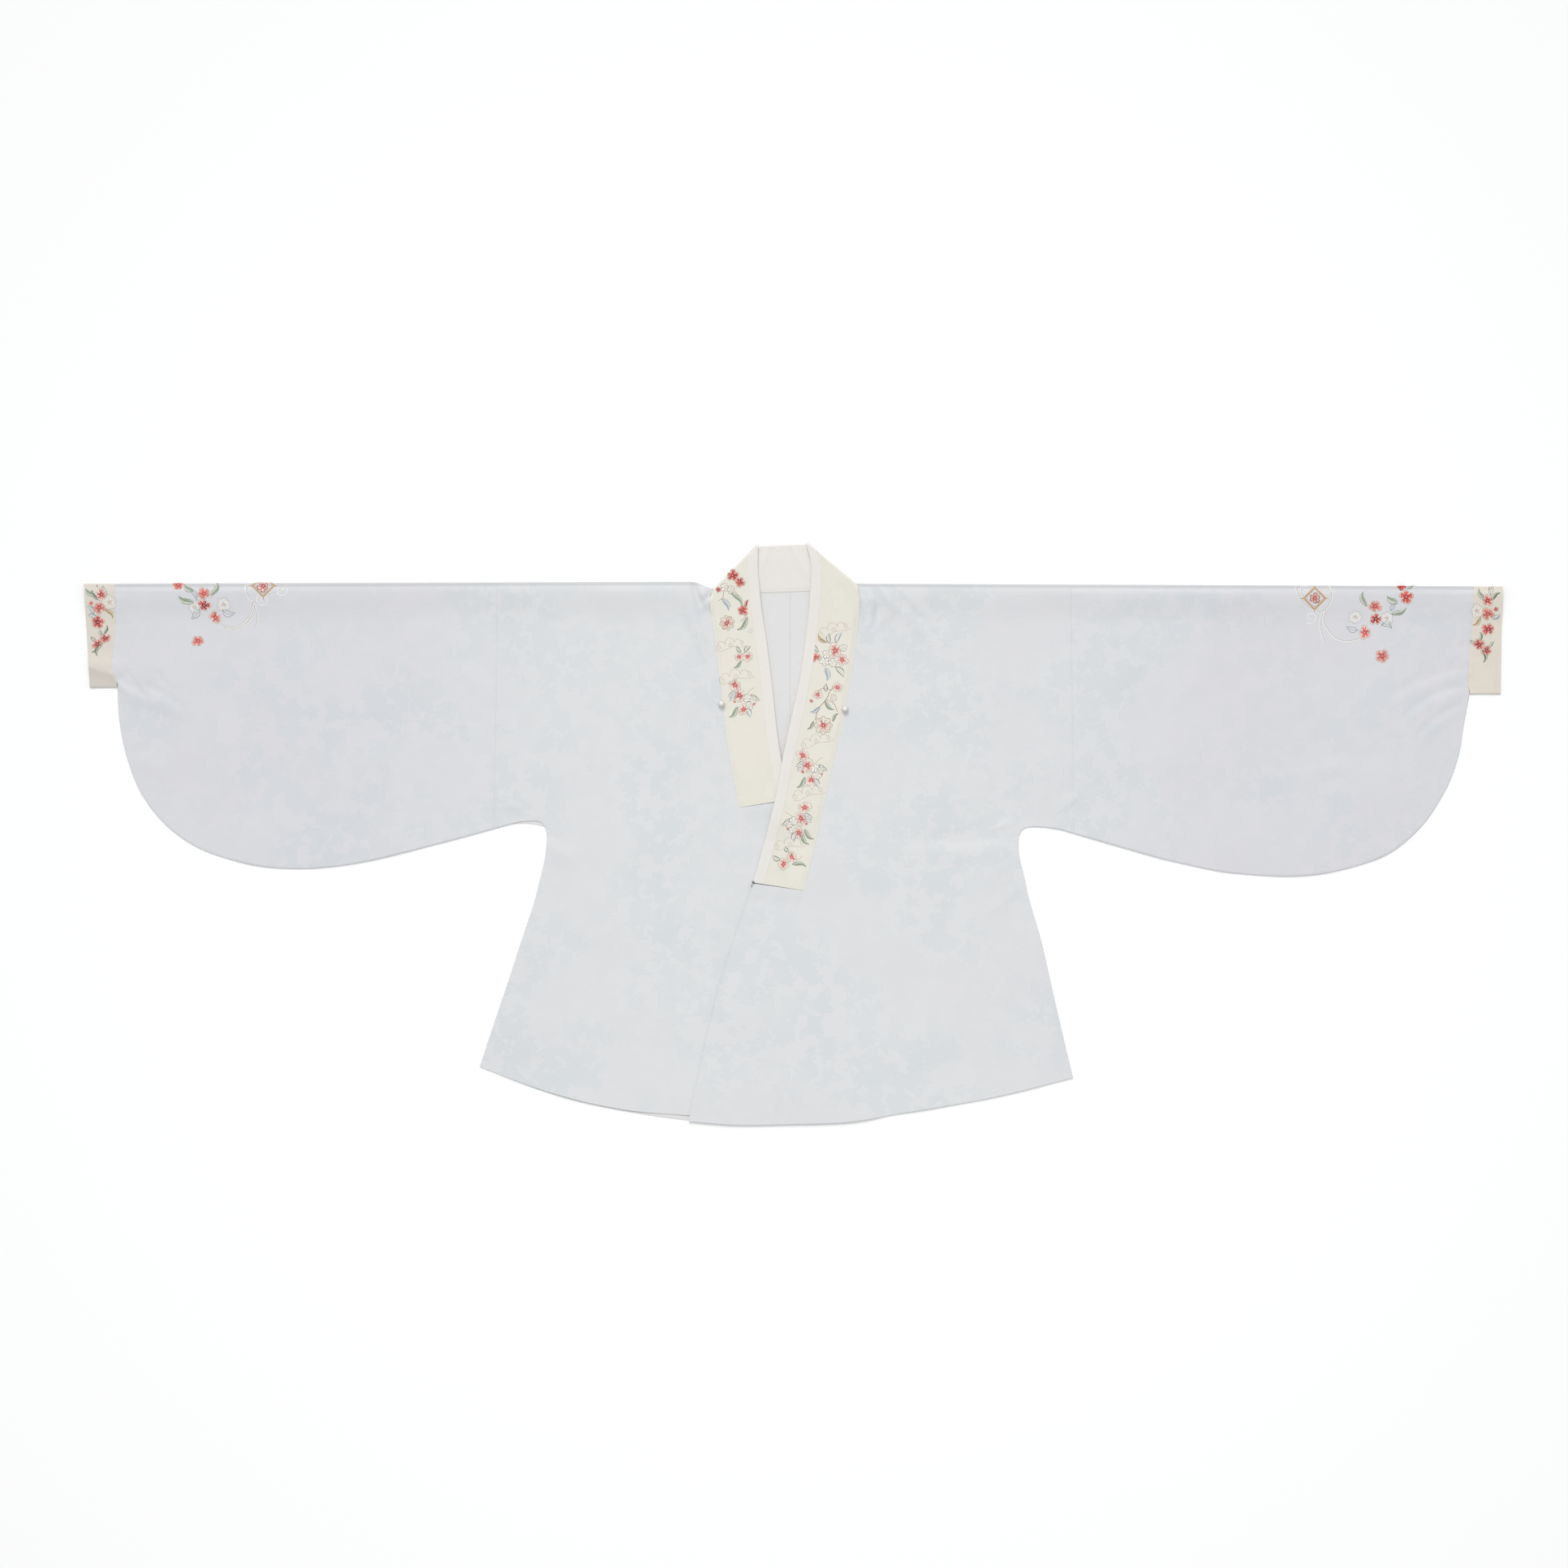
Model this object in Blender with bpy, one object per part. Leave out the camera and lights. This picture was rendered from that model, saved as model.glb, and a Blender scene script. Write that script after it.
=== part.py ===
"""A crossed-collar robe with full rounded sleeves, laid flat on its back with the front upwards.

The cloth is cut as the real robe is: each body half is one piece that runs over the shoulder from the
front hem to the back hem, each sleeve is a tube folded along its top edge, and a straight collar band
is mitred at both sides of the neck. The right front lies under the left front.

Sizes are in millimetres until a mesh is made. x is measured from the centre back seam towards the
wearer's left, y from the shoulder line towards the collar, z up from the surface that the robe lies on.
In the tables, "out" is a distance from the centre and "down" a distance from the shoulder line. A
"level" runs from 0 at the shoulder through 1 at the end of the collar to 2 at the hem.
"""

import math

import bmesh
import bpy
import numpy as np

MM = 0.001
SIGN = {"right": -1.0, "left": 1.0}

# Middle of the finished robe's box, where the origin goes
MIDDLE = (4.1, -318.4)

# Cloth walls and the gap between layers and at seams
CLOTH = 1.0
SEAM_GAP = 0.3
LAYER = CLOTH + SEAM_GAP
BACK_Z = CLOTH / 2
FRONT_Z = BACK_Z + LAYER
PANEL_INSET = 0.5
CORNER_GAP = 1.2

# Top fold: its radius, and the roll of cloth that falls from it to the flat
FOLD_RADIUS = 1.7
FOLD_INSET = FOLD_RADIUS + CLOTH / 2
ROLL_WIDTH = 48.0

# Shoulder line: its depth at the cuff and at the neck, and its dip to the neck point (out, down)
CUFF_EDGE = {"right": (895.6, 888.5), "left": (903.8, 901.3)}
CUFF_SEAM = {"right": (856.5, 852.5), "left": (867.0, 861.0)}
CUFF_DEPTH = {"right": 132.0, "left": 140.0}
SLEEVE_SEAM = {"right": (371.0, 375.0), "left": (356.5, 360.0)}
SHOULDER_DOWN = {"right": (1.0, -1.5), "left": (4.5, 1.0)}
NECK_POINT = {"right": (102.5, 10.5), "left": (91.0, 7.5)}
NECK_DIP_START = {"right": 126.0, "left": 104.0}

# Sections of each sleeve from the cuff to the body: out at the top fold, then out and down at the lower edge
SLEEVE_SECTIONS = {
    "right": [
        (856.5, 852.5, 132), (832.0, 850.0, 175), (803.0, 840.0, 222), (768.0, 820.0, 270),
        (722.0, 783.0, 314), (668.0, 730.0, 344), (600.0, 650.0, 361), (530.0, 570.0, 358),
        (455.0, 485.0, 340), (371.0, 375.0, 311),
    ],
    "left": [
        (867.0, 861.0, 140), (840.0, 854.0, 178), (812.0, 847.0, 220), (778.0, 830.0, 264),
        (733.0, 797.0, 312), (682.0, 748.0, 348), (615.0, 672.0, 368.5), (540.0, 590.0, 370),
        (455.0, 500.0, 356), (356.5, 360.0, 317),
    ],
}

# Underarm and side seam from the armhole's lower end: level, out, down
SIDE_CURVE = {
    "right": [
        (0.78, 375.0, 311), (0.89, 355.0, 305.5), (1.00, 336.0, 302), (1.06, 318.0, 302.5),
        (1.12, 309.5, 312), (1.19, 308.0, 334), (1.30, 318.0, 382), (1.55, 347.0, 477),
        (1.80, 374.0, 557), (2.00, 393.0, 614),
    ],
    "left": [
        (0.64, 360.0, 317), (0.71, 340.0, 311.5), (0.77, 319.0, 309), (0.82, 299.0, 310),
        (0.87, 290.5, 319), (0.93, 289.0, 338), (1.04, 297.0, 378), (1.35, 319.0, 460),
        (1.70, 340.0, 553), (2.00, 358.0, 628),
    ],
}
LEAN = 1.9

# Legs of the collar from the mitre down to the end: level, seam edge x and y, free edge x and y
LEG = {
    "right": [
        (0.00, -99.9, -13.4, -39.7, 46.9), (0.04, -102.2, -23.7, -40.2, 23.7),
        (0.10, -100.4, -40.2, -38.4, -4.1), (0.17, -97.3, -58.7, -36.1, -27.8),
        (0.34, -91.4, -107.1, -29.4, -72.1), (0.47, -86.3, -142.1, -23.2, -120.5),
        (0.64, -82.0, -186.4, -16.8, -180.3), (1.00, -64.9, -285.3, -1.5, -275.0),
    ],
    "left": [
        (0.00, 86.0, -6.2, 19.1, 49.4), (0.03, 88.6, -18.5, 25.2, 28.8),
        (0.07, 88.4, -33.0, 25.8, 6.2), (0.12, 86.0, -53.6, 24.2, -22.7),
        (0.22, 80.9, -94.8, 19.6, -67.0), (0.32, 74.3, -132.9, 13.4, -113.3),
        (0.44, 67.5, -176.1, 3.1, -162.7), (0.55, 57.2, -218.4, -8.2, -214.2),
        (0.70, 43.6, -278.1, -19.7, -276.0), (0.82, 33.3, -324.5, -30.9, -321.4),
        (1.00, 18.0, -390.4, -47.4, -380.1),
    ],
}
NECK_SAG = 2.5

# Free edge of each front below its collar end (level, x, down) and where its columns end at the hem
FRONT_EDGE = {
    "right": [(1.00, -1.3, 276.0), (1.50, 42.0, 480.0), (2.00, 83.0, 681.0)],
    "left": [(1.00, -46.9, 381.6), (1.50, -92.0, 520.0), (2.00, -129.0, 683.0)],
}
GUIDE_AT_HEM = {"right": -35.0, "left": -12.0}
BACK_GUIDE_AT_HEM = 90.0

# Hem of each front, and the back hem that shows below the right front: x, down
HEM = {
    "right": [(-393, 614), (-350, 631), (-291, 650.5), (-210, 668.5), (-130, 675.5), (-20, 679.5), (83, 681)],
    "left": [(-129, 683), (-72, 687.5), (10, 686.5), (69, 684.5), (144, 672.5), (261, 652), (358, 628)],
    "back": [(-393, 614), (-350, 631.5), (-291, 652.5), (-197, 672.5), (-129, 682), (-72, 686.5),
             (10, 685.5), (69, 683), (144, 671.5), (261, 651), (358, 628)],
}

# Rows and columns of the cloth, closer together at folds and corners
ROW_LEVELS = {
    "right": [0, 0.015, 0.04, 0.08, 0.125, 0.19, 0.28, 0.38, 0.5, 0.64, 0.78, 0.84, 0.89, 0.945, 1.0,
              1.06, 1.12, 1.19, 1.3, 1.42, 1.55, 1.68, 1.8, 1.9, 2.0],
    "left": [0, 0.013, 0.032, 0.065, 0.1, 0.155, 0.23, 0.32, 0.42, 0.53, 0.64, 0.68, 0.72, 0.77, 0.82,
             0.87, 0.93, 1.0, 1.08, 1.2, 1.35, 1.52, 1.7, 1.85, 2.0],
}
BACK_ROWS_TO_ARMHOLE = 4
PANEL_COLUMNS = [0, 0.05, 0.12, 0.2, 0.3, 0.4, 0.5, 0.6, 0.7, 0.79, 0.87, 0.94, 1.0]
OVERLAP_COLUMNS = [0, 0.25, 0.5, 0.75, 1.0]
SLEEVE_COLUMNS = [0, 0.4, 0.8, 1.2, 1.7, 2.2, 2.7, 3.2, 3.8, 4.5, 5.3, 6.1, 6.9, 7.7, 8.4, 9.0]
SLEEVE_ROWS = [0, 0.015, 0.05, 0.1, 0.16, 0.24, 0.33, 0.42, 0.51, 0.6, 0.7, 0.8, 0.9, 1.0]
CUFF_COLUMNS = [0, 0.5, 1.0]
CUFF_ROWS = [0, 0.04, 0.11, 0.22, 0.35, 0.52, 0.75, 1.0]
BACK_ROWS = [0, 0.3, 0.65, 1.0]
FOLD_STEPS = 4
EDGE_STEPS = 3

# Collar: shares are of a leg's width from the seam edge, and the guard goes round the free edge
GUARD_EDGE = LAYER + CLOTH / 2
SEAM_RISE_SHARE = 0.12
WRAP_SHARE = 0.81
BAND_BED = FRONT_Z + LAYER
NECK_FALL = 62.0
BACK_TILT_SHARE = 0.76
LEG_LEVELS = {
    "right": [0, 0.02, 0.05, 0.1, 0.17, 0.25, 0.34, 0.47, 0.6, 0.7, 0.8, 0.9, 1.0],
    "left": [0, 0.015, 0.035, 0.07, 0.12, 0.18, 0.25, 0.32, 0.38, 0.44, 0.5, 0.56, 0.63, 0.7, 0.77,
             0.84, 0.92, 1.0],
}
BACK_NECK_STEPS = 5
BAND_SHARES = [0, 0.06, 0.13, 0.4, 0.65, 0.81, 1.0]
GUARD_SHARES = [0.13, 0.4, 0.65, 0.81, 1.0]
GUARD_TURN_STEPS = 4

# Where the left leg crosses the right one it is lifted by three layers: y where that starts and ends, ramps
CROSSING = {"start": -112.0, "rise": 84.0, "end": -292.0, "fall": 56.0, "side_ramp": 56.0}
OVERLAP_RAMP = (48.0, 30.0)
END_RISE_LENGTH = 28.0

# Creases of the front: start x, y, end x, y, half width, height, bow to the left of its run
CREASES = [
    (-850, -136, -757, -172, 17, 3.6, 4),
    (-832, -224, -786, -243, 15, 1.8, 2),
    (-420, -104, -374, -158, 17, 2.4, 3),
    (-127, -8, -98, -92, 15, 3.2, -5),
    (106, -10, 100, -70, 14, 2.4, 6),
    (122, -8, 206, -84, 18, 2.6, -3),
    (286, -290, 238, -322, 16, 2.8, 2),
    (288, -326, 150, -333, 16, 3.0, 3),
    (861, -133, 764, -186, 17, 4.2, -9),
    (858, -150, 786, -206, 15, 3.0, -5),
]

# Pearls: diameter, and x and y of each one beside the band
PEARL = 8.0
PEARL_AT = {"right": (-87.0, -153.5), "left": (69.6, -160.2)}

# Colour, roughness and metallic value of each material
MATERIALS = {
    "pale_cloth": ((0.72, 0.75, 0.78, 1.0), 0.55, 0.0),
    "cuff_cloth": ((0.80, 0.73, 0.62, 1.0), 0.6, 0.0),
    "cream_band": ((0.80, 0.79, 0.68, 1.0), 0.6, 0.0),
    "white_guard": ((0.82, 0.81, 0.79, 1.0), 0.6, 0.0),
    "pearl": ((0.86, 0.84, 0.80, 1.0), 0.2, 0.0),
}


def smooth(t):
    """0 below 0, 1 above 1, and an even S between them."""
    t = np.clip(t, 0.0, 1.0)
    return t * t * (3 - 2 * t)


def through(table, at):
    """A smooth curve through a table's rows, read at values of its first column."""
    table = np.array(table, float)
    knots, values = table[:, 0], table[:, 1:]
    slopes = np.gradient(values, knots, axis=0)
    at = np.clip(np.asarray(at, float), knots[0], knots[-1])
    i = np.clip(np.searchsorted(knots, at, side="right") - 1, 0, len(knots) - 2)
    span = (knots[i + 1] - knots[i])[..., None]
    t = (at - knots[i])[..., None] / span
    return (
        (2 * t**3 - 3 * t**2 + 1) * values[i]
        + (t**3 - 2 * t**2 + t) * span * slopes[i]
        + (3 * t**2 - 2 * t**3) * values[i + 1]
        + (t**3 - t**2) * span * slopes[i + 1]
    )


def between(first, last, shares):
    """Points at shares of the way between two points."""
    shares = np.asarray(shares, float)[:, None]
    return np.asarray(first, float) * (1 - shares) + np.asarray(last, float) * shares


def shoulder_y(side, out):
    """Top edge along the arm and shoulder, which dips at the neck."""
    cuff_down, neck_down = SHOULDER_DOWN[side]
    neck_out, neck_point_down = NECK_POINT[side]
    start = NECK_DIP_START[side]
    along = np.clip((out - start) / (CUFF_EDGE[side][0] - start), 0, 1)
    dip = smooth((start - out) / (start - neck_out))
    return -(neck_down + (cuff_down - neck_down) * along + (neck_point_down - neck_down) * dip)


def on_fold(side, out):
    """Plan points on the axis of the top fold."""
    out = np.asarray(out, float)
    return np.stack([SIGN[side] * out, shoulder_y(side, out) - FOLD_INSET], axis=-1)


def under_left_front(x, y):
    """1 over the hidden right front, falling to 0 past its edge and above its collar end."""
    ramp, width = OVERLAP_RAMP
    table = [(down, edge_x) for _, edge_x, down in FRONT_EDGE["right"]]
    edge = through(table, -y)[..., 0]
    first_down = FRONT_EDGE["right"][0][2]
    return smooth((edge + ramp - x) / width) * smooth((-y - first_down + width) / width)


def crease_height(x, y):
    """Soft ridges along the CREASES: a raised cosine across each one, dying away at its ends."""
    height = np.zeros_like(x)
    for x0, y0, x1, y1, half_width, top, bow in CREASES:
        run = np.array([x1 - x0, y1 - y0], float)
        length = np.linalg.norm(run)
        along = ((x - x0) * run[0] + (y - y0) * run[1]) / length**2
        across = ((y - y0) * run[0] - (x - x0) * run[1]) / length - 4 * bow * along * (1 - along)
        ridge = np.cos(np.clip(across / half_width, -1, 1) * math.pi / 2) ** 2
        height += top * ridge * smooth((along + 0.08) / 0.3) * smooth((1.05 - along) / 0.4)
    return height


def end_rise(side, x, y):
    """The front below a collar end, which rises to the end's level and falls away below it."""
    seam_x, seam_y, free_x, free_y = LEG[side][-1][1:]
    run_x, run_y = free_x - seam_x, free_y - seam_y
    length = math.hypot(run_x, run_y)
    share = ((x - seam_x) * run_x + (y - seam_y) * run_y) / length**2
    below = SIGN[side] * ((y - seam_y) * run_x - (x - seam_x) * run_y) / length
    return LAYER * smooth(share / SEAM_RISE_SHARE) * (1 - smooth(below / END_RISE_LENGTH)) * (below > -CLOTH)


def front_z(side, plan):
    """Middle of the front cloth: the flat level, the roll under the top fold, creases and what lies below."""
    x, y = plan[..., 0], plan[..., 1]
    below_fold = shoulder_y(side, np.abs(x)) - FOLD_INSET - y
    roll = (2 * FOLD_RADIUS + BACK_Z - FRONT_Z) * (1 - smooth(below_fold / ROLL_WIDTH))
    z = FRONT_Z + roll + crease_height(x, y) * smooth(below_fold / 20) + end_rise(side, x, y)
    if side == "left":
        z = z + LAYER * under_left_front(x, y)
    return z


def lie(side, plan, layer):
    """Gives plan points their height on the front, or on the flat back."""
    z = front_z(side, plan) if layer == "front" else np.full(plan.shape[:-1], BACK_Z)
    return np.concatenate([plan, z[..., None]], axis=-1)


def patch(left, right, top, bottom, across, down, lean=1.0):
    """A Coons patch: a grid between four edge curves, whose rows may leave the left edge at a slant."""
    s, v = np.asarray(across, float)[None, :, None], np.asarray(down, float)[:, None, None]
    ease = np.concatenate([s, 1 - (1 - s) ** lean], axis=2)
    grid = left[:, None] * (1 - ease) + right[:, None] * ease
    grid = grid + (1 - v) * (top[None] - top[0] * (1 - ease) - top[-1] * ease)
    return grid + v * (bottom[None] - bottom[0] * (1 - ease) - bottom[-1] * ease)


def turned(front_edge, back_edge, outward, steps):
    """A half turn of cloth from a front edge round to the back edge below it, bulging outward."""
    angles = np.linspace(math.pi / 2, -math.pi / 2, steps + 1)[:, None, None]
    middle, half = (front_edge + back_edge) / 2, (front_edge - back_edge) / 2
    bulge = np.abs(half[:, 2:3]) * outward
    grid = middle + np.sin(angles) * half + np.cos(angles) * bulge
    grid[0], grid[-1] = front_edge, back_edge
    return grid


def away_from_cloth(side, edge):
    """Unit directions in plan, square to a lower or side edge that runs from the cuff to the hem."""
    run = np.gradient(edge[:, :2], axis=0)
    run /= np.linalg.norm(run, axis=1)[:, None]
    sign = SIGN[side]
    return np.column_stack([-sign * run[:, 1], sign * run[:, 0], np.zeros(len(edge))])


class Sheet:
    """A cloth sheet under construction: grids of points that meet at shared edges."""

    def __init__(self):
        self.points = []
        self.faces = []

    def add(self, grid):
        """Adds a grid of rows of points, with a face between each four neighbours."""
        rows, columns = grid.shape[:2]
        index = len(self.points) + np.arange(rows * columns).reshape(rows, columns)
        self.points.extend(grid.reshape(-1, 3).tolist())
        corners = [index[:-1, :-1], index[1:, :-1], index[1:, 1:], index[:-1, 1:]]
        self.faces.extend(np.stack(corners, axis=-1).reshape(-1, 4).tolist())

    def solid(self, name, material):
        """Merges the grids and gives the sheet its wall, half on each side."""
        mesh = bpy.data.meshes.new(name)
        mesh.from_pydata((np.array(self.points) * MM).tolist(), [], self.faces)
        work = bmesh.new()
        work.from_mesh(mesh)
        bmesh.ops.remove_doubles(work, verts=work.verts, dist=0.00001)
        bmesh.ops.recalc_face_normals(work, faces=work.faces)
        work.to_mesh(mesh)
        work.free()
        obj = add_object(name, mesh, material)
        wall = obj.modifiers.new("wall", "SOLIDIFY")
        wall.thickness = CLOTH * MM
        wall.offset = 0
        wall.use_even_offset = True
        return obj


def add_object(name, mesh, material):
    """Makes the mesh an object, moves it so that the origin is under the robe's middle, and colours it."""
    for vertex in mesh.vertices:
        vertex.co.x -= MIDDLE[0] * MM
        vertex.co.y -= MIDDLE[1] * MM
    mesh.materials.append(bpy.data.materials[material])
    mesh.shade_smooth()
    obj = bpy.data.objects.new(name, mesh)
    bpy.context.collection.objects.link(obj)
    return obj


def make_materials():
    """One Principled material for each kind of cloth and for the pearls."""
    for name, (colour, roughness, metallic) in MATERIALS.items():
        material = bpy.data.materials.new(name)
        material.use_nodes = True
        shader = material.node_tree.nodes["Principled BSDF"]
        shader.inputs["Base Color"].default_value = colour
        shader.inputs["Roughness"].default_value = roughness
        shader.inputs["Metallic"].default_value = metallic
        material.diffuse_color = colour


def leg_edges(side, level):
    """Seam edge and free edge of a collar leg at each level."""
    edges = through(LEG[side], level)
    return edges[..., :2], edges[..., 2:]


def neckline(side, level):
    """Edge of the front along the collar's seam edge, from the neck point to just below the collar end."""
    neck_out = NECK_POINT[side][0]
    table = [(row[0], row[1] + SIGN[side] * PANEL_INSET, row[2]) for row in LEG[side]]
    table[0] = (0.0, *on_fold(side, neck_out))
    last_level, last_x, last_y = table[-1]
    table[-1] = (last_level, last_x, last_y - 2 * PANEL_INSET)
    return through(table, level)


def side_edge(side, level):
    """Straight armhole, then the underarm curve and side seam."""
    table = SIDE_CURVE[side]
    armhole_level = table[0][0]
    lower_end = np.array([SIGN[side] * table[0][1], -table[0][2]])
    armhole = between(on_fold(side, SLEEVE_SEAM[side][0]), lower_end, np.clip(level / armhole_level, 0, 1))
    below = through(table, level) * np.array([SIGN[side], -1.0])
    return np.where((level <= armhole_level)[:, None], armhole, below)


def hem_points(name, x):
    """Plan points of a hem at each x."""
    return np.stack([x, -through(HEM[name], x)[..., 0]], axis=-1)


def back_neck_y(x):
    """Seam edge of the collar behind the neck, a shallow curve between the two mitres."""
    (x0, y0), (x1, y1) = LEG["right"][0][1:3], LEG["left"][0][1:3]
    share = np.clip((x - x0) / (x1 - x0), 0, 1)
    return y0 + (y1 - y0) * share - NECK_SAG * 4 * share * (1 - share)


def body_half(side):
    """Front and back in one: the front panel and its overlap, the shoulder fold, the back, the side turn."""
    sign = SIGN[side]
    level = np.array(ROW_LEVELS[side])
    armhole_level = SIDE_CURVE[side][0][0]
    columns = np.array(PANEL_COLUMNS)
    sheet = Sheet()

    fold_row = on_fold(side, SLEEVE_SEAM[side][0] * (1 - columns) + NECK_POINT[side][0] * columns)
    edge = side_edge(side, level)
    guide_end = hem_points(side, np.array([GUIDE_AT_HEM[side]]))[0]
    guide = between(neckline(side, np.array(1.0)), guide_end, np.clip(level - 1, 0, 1))
    inner = np.where((level <= 1)[:, None], neckline(side, level), guide)
    hem = hem_points(side, edge[-1, 0] * (1 - columns) + guide_end[0] * columns)
    front = lie(side, patch(edge, inner, fold_row, hem, columns, level / 2, LEAN), "front")
    sheet.add(front)

    lower = level[level >= 1]
    free = through(FRONT_EDGE[side], lower) * np.array([1.0, -1.0])
    across = np.array(OVERLAP_COLUMNS)
    top = between(guide[0], free[0], across)
    hem = hem_points(side, guide_end[0] * (1 - across) + free[-1, 0] * across)
    overlap = patch(guide[level >= 1], free, top, hem, across, lower - 1)
    sheet.add(lie(side, overlap, "front"))

    shares = np.linspace(0, 1, BACK_ROWS_TO_ARMHOLE + 1)[:-1]
    back_level = np.concatenate([armhole_level * shares, level[level >= armhole_level]])
    edge = side_edge(side, back_level)
    guide_end = hem_points("back", np.array([sign * BACK_GUIDE_AT_HEM]))[0]
    guide = between(fold_row[-1], guide_end, back_level / 2)
    hem = hem_points("back", edge[-1, 0] * (1 - columns) + guide_end[0] * columns)
    back = lie(side, patch(edge, guide, fold_row, hem, columns, back_level / 2, LEAN), "back")
    sheet.add(back)

    centre_x = sign * SEAM_GAP / 2
    neck_x = np.linspace(LEG[side][0][1], centre_x, 4)
    neck = np.stack([neck_x, back_neck_y(neck_x) - PANEL_INSET], axis=-1)
    neck = np.concatenate([fold_row[-1:], neck])
    across = (neck[:, 0] - neck[0, 0]) / (neck[-1, 0] - neck[0, 0])
    hem = hem_points("back", guide_end[0] * (1 - across) + centre_x * across)
    centre = between(neck[-1], hem[-1], back_level / 2)
    sheet.add(lie(side, patch(guide, centre, neck, hem, across, back_level / 2), "back"))

    sheet.add(turned(front[0], back[0], np.array([0.0, 1.0, 0.0]), FOLD_STEPS))
    closed_front, closed_back = front[level >= armhole_level, 0], back[back_level >= armhole_level, 0]
    sheet.add(turned(closed_front, closed_back, away_from_cloth(side, closed_front), EDGE_STEPS))
    return sheet.solid("body_" + side, "pale_cloth")


def tube(side, top, bottom, front_rows, name, material):
    """A flattened tube: front and back between a top fold and a turned lower edge, open at both ends."""
    sheet = Sheet()
    front_shares = np.array(front_rows)[:, None, None]
    back_shares = np.array(BACK_ROWS)[:, None, None]
    front = lie(side, top[None] * (1 - front_shares) + bottom[None] * front_shares, "front")
    back = lie(side, top[None] * (1 - back_shares) + bottom[None] * back_shares, "back")
    sheet.add(front)
    sheet.add(back)
    sheet.add(turned(front[0], back[0], np.array([0.0, 1.0, 0.0]), FOLD_STEPS))
    outward = away_from_cloth(side, front[-1])
    outward[0] = outward[0] / 2 + np.array([0.0, -0.5, 0.0])
    sheet.add(turned(front[-1], back[-1], outward, EDGE_STEPS))
    return sheet.solid(name, material)


def sleeve(side):
    """Columns of cloth between the cuff and the armhole, fanned along the rounded lower edge."""
    table = [(number, *row) for number, row in enumerate(SLEEVE_SECTIONS[side])]
    top_out, edge_out, edge_down = through(table, np.array(SLEEVE_COLUMNS)).T
    top_out[-1] += SEAM_GAP
    edge_out[-1] += SEAM_GAP
    bottom = np.column_stack([SIGN[side] * edge_out, -edge_down])
    return tube(side, on_fold(side, top_out), bottom, SLEEVE_ROWS, "sleeve_" + side, "pale_cloth")


def cuff(side):
    """A short straight tube at the end of the sleeve."""
    shares = np.array(CUFF_COLUMNS)
    seam_top, seam_bottom = CUFF_SEAM[side]
    edge_top, edge_bottom = CUFF_EDGE[side]
    top_out = edge_top * (1 - shares) + (seam_top + SEAM_GAP) * shares
    bottom_out = edge_bottom * (1 - shares) + (seam_bottom + CORNER_GAP) * shares
    bottom = np.column_stack([SIGN[side] * bottom_out, np.full(len(shares), -CUFF_DEPTH[side])])
    return tube(side, on_fold(side, top_out), bottom, CUFF_ROWS, "cuff_" + side, "cuff_cloth")


def neck_bed(y):
    """Extra height of the legs where they lie over the part of the collar behind the neck."""
    above = y - LEG["right"][0][2]
    width = LEG["right"][0][4] - LEG["right"][0][2]
    return LAYER * smooth(above / NECK_FALL + 1) + LAYER * np.clip(above / width / BACK_TILT_SHARE, 0, 1)


def crossing_lift(x, y):
    """Extra height of the left leg over the right front, and over the end of the right leg."""
    rise = smooth((CROSSING["start"] - y) / CROSSING["rise"])
    fall = smooth((CROSSING["end"] - y) / CROSSING["fall"])
    table = [(-row[4], row[3]) for row in LEG["right"]]
    free_x = through(table, -y)[..., 0]
    beside = smooth((free_x + CROSSING["side_ramp"] - x) / CROSSING["side_ramp"])
    return np.maximum(LAYER * under_left_front(x, y), 3 * LAYER * rise * (1 - fall) * beside)


def leg_z(side, seam, plan, share):
    """Middle of a leg's band: level with the front at its seam edge, then a layer higher on the guard."""
    bed = BAND_BED + neck_bed(plan[..., 1])
    if side == "left":
        bed = bed + crossing_lift(plan[..., 0], plan[..., 1])
    seam_z = front_z(side, seam)
    return seam_z + (bed - seam_z) * smooth(share / SEAM_RISE_SHARE)


def back_neck_z(share):
    """Middle of the band behind the neck, tilted up towards its free edge to leave room for the guard."""
    return BACK_Z + LAYER * np.clip(share / BACK_TILT_SHARE, 0, 1)


def slant(seam, free):
    """How much longer than the square distance each section is as it meets the free edge."""
    section = (free - seam) / np.linalg.norm(free - seam, axis=1)[:, None]
    run = np.gradient(free, axis=0)
    run /= np.linalg.norm(run, axis=1)[:, None]
    return 1 / np.abs(section[:, 0] * run[:, 1] - section[:, 1] * run[:, 0])


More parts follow.
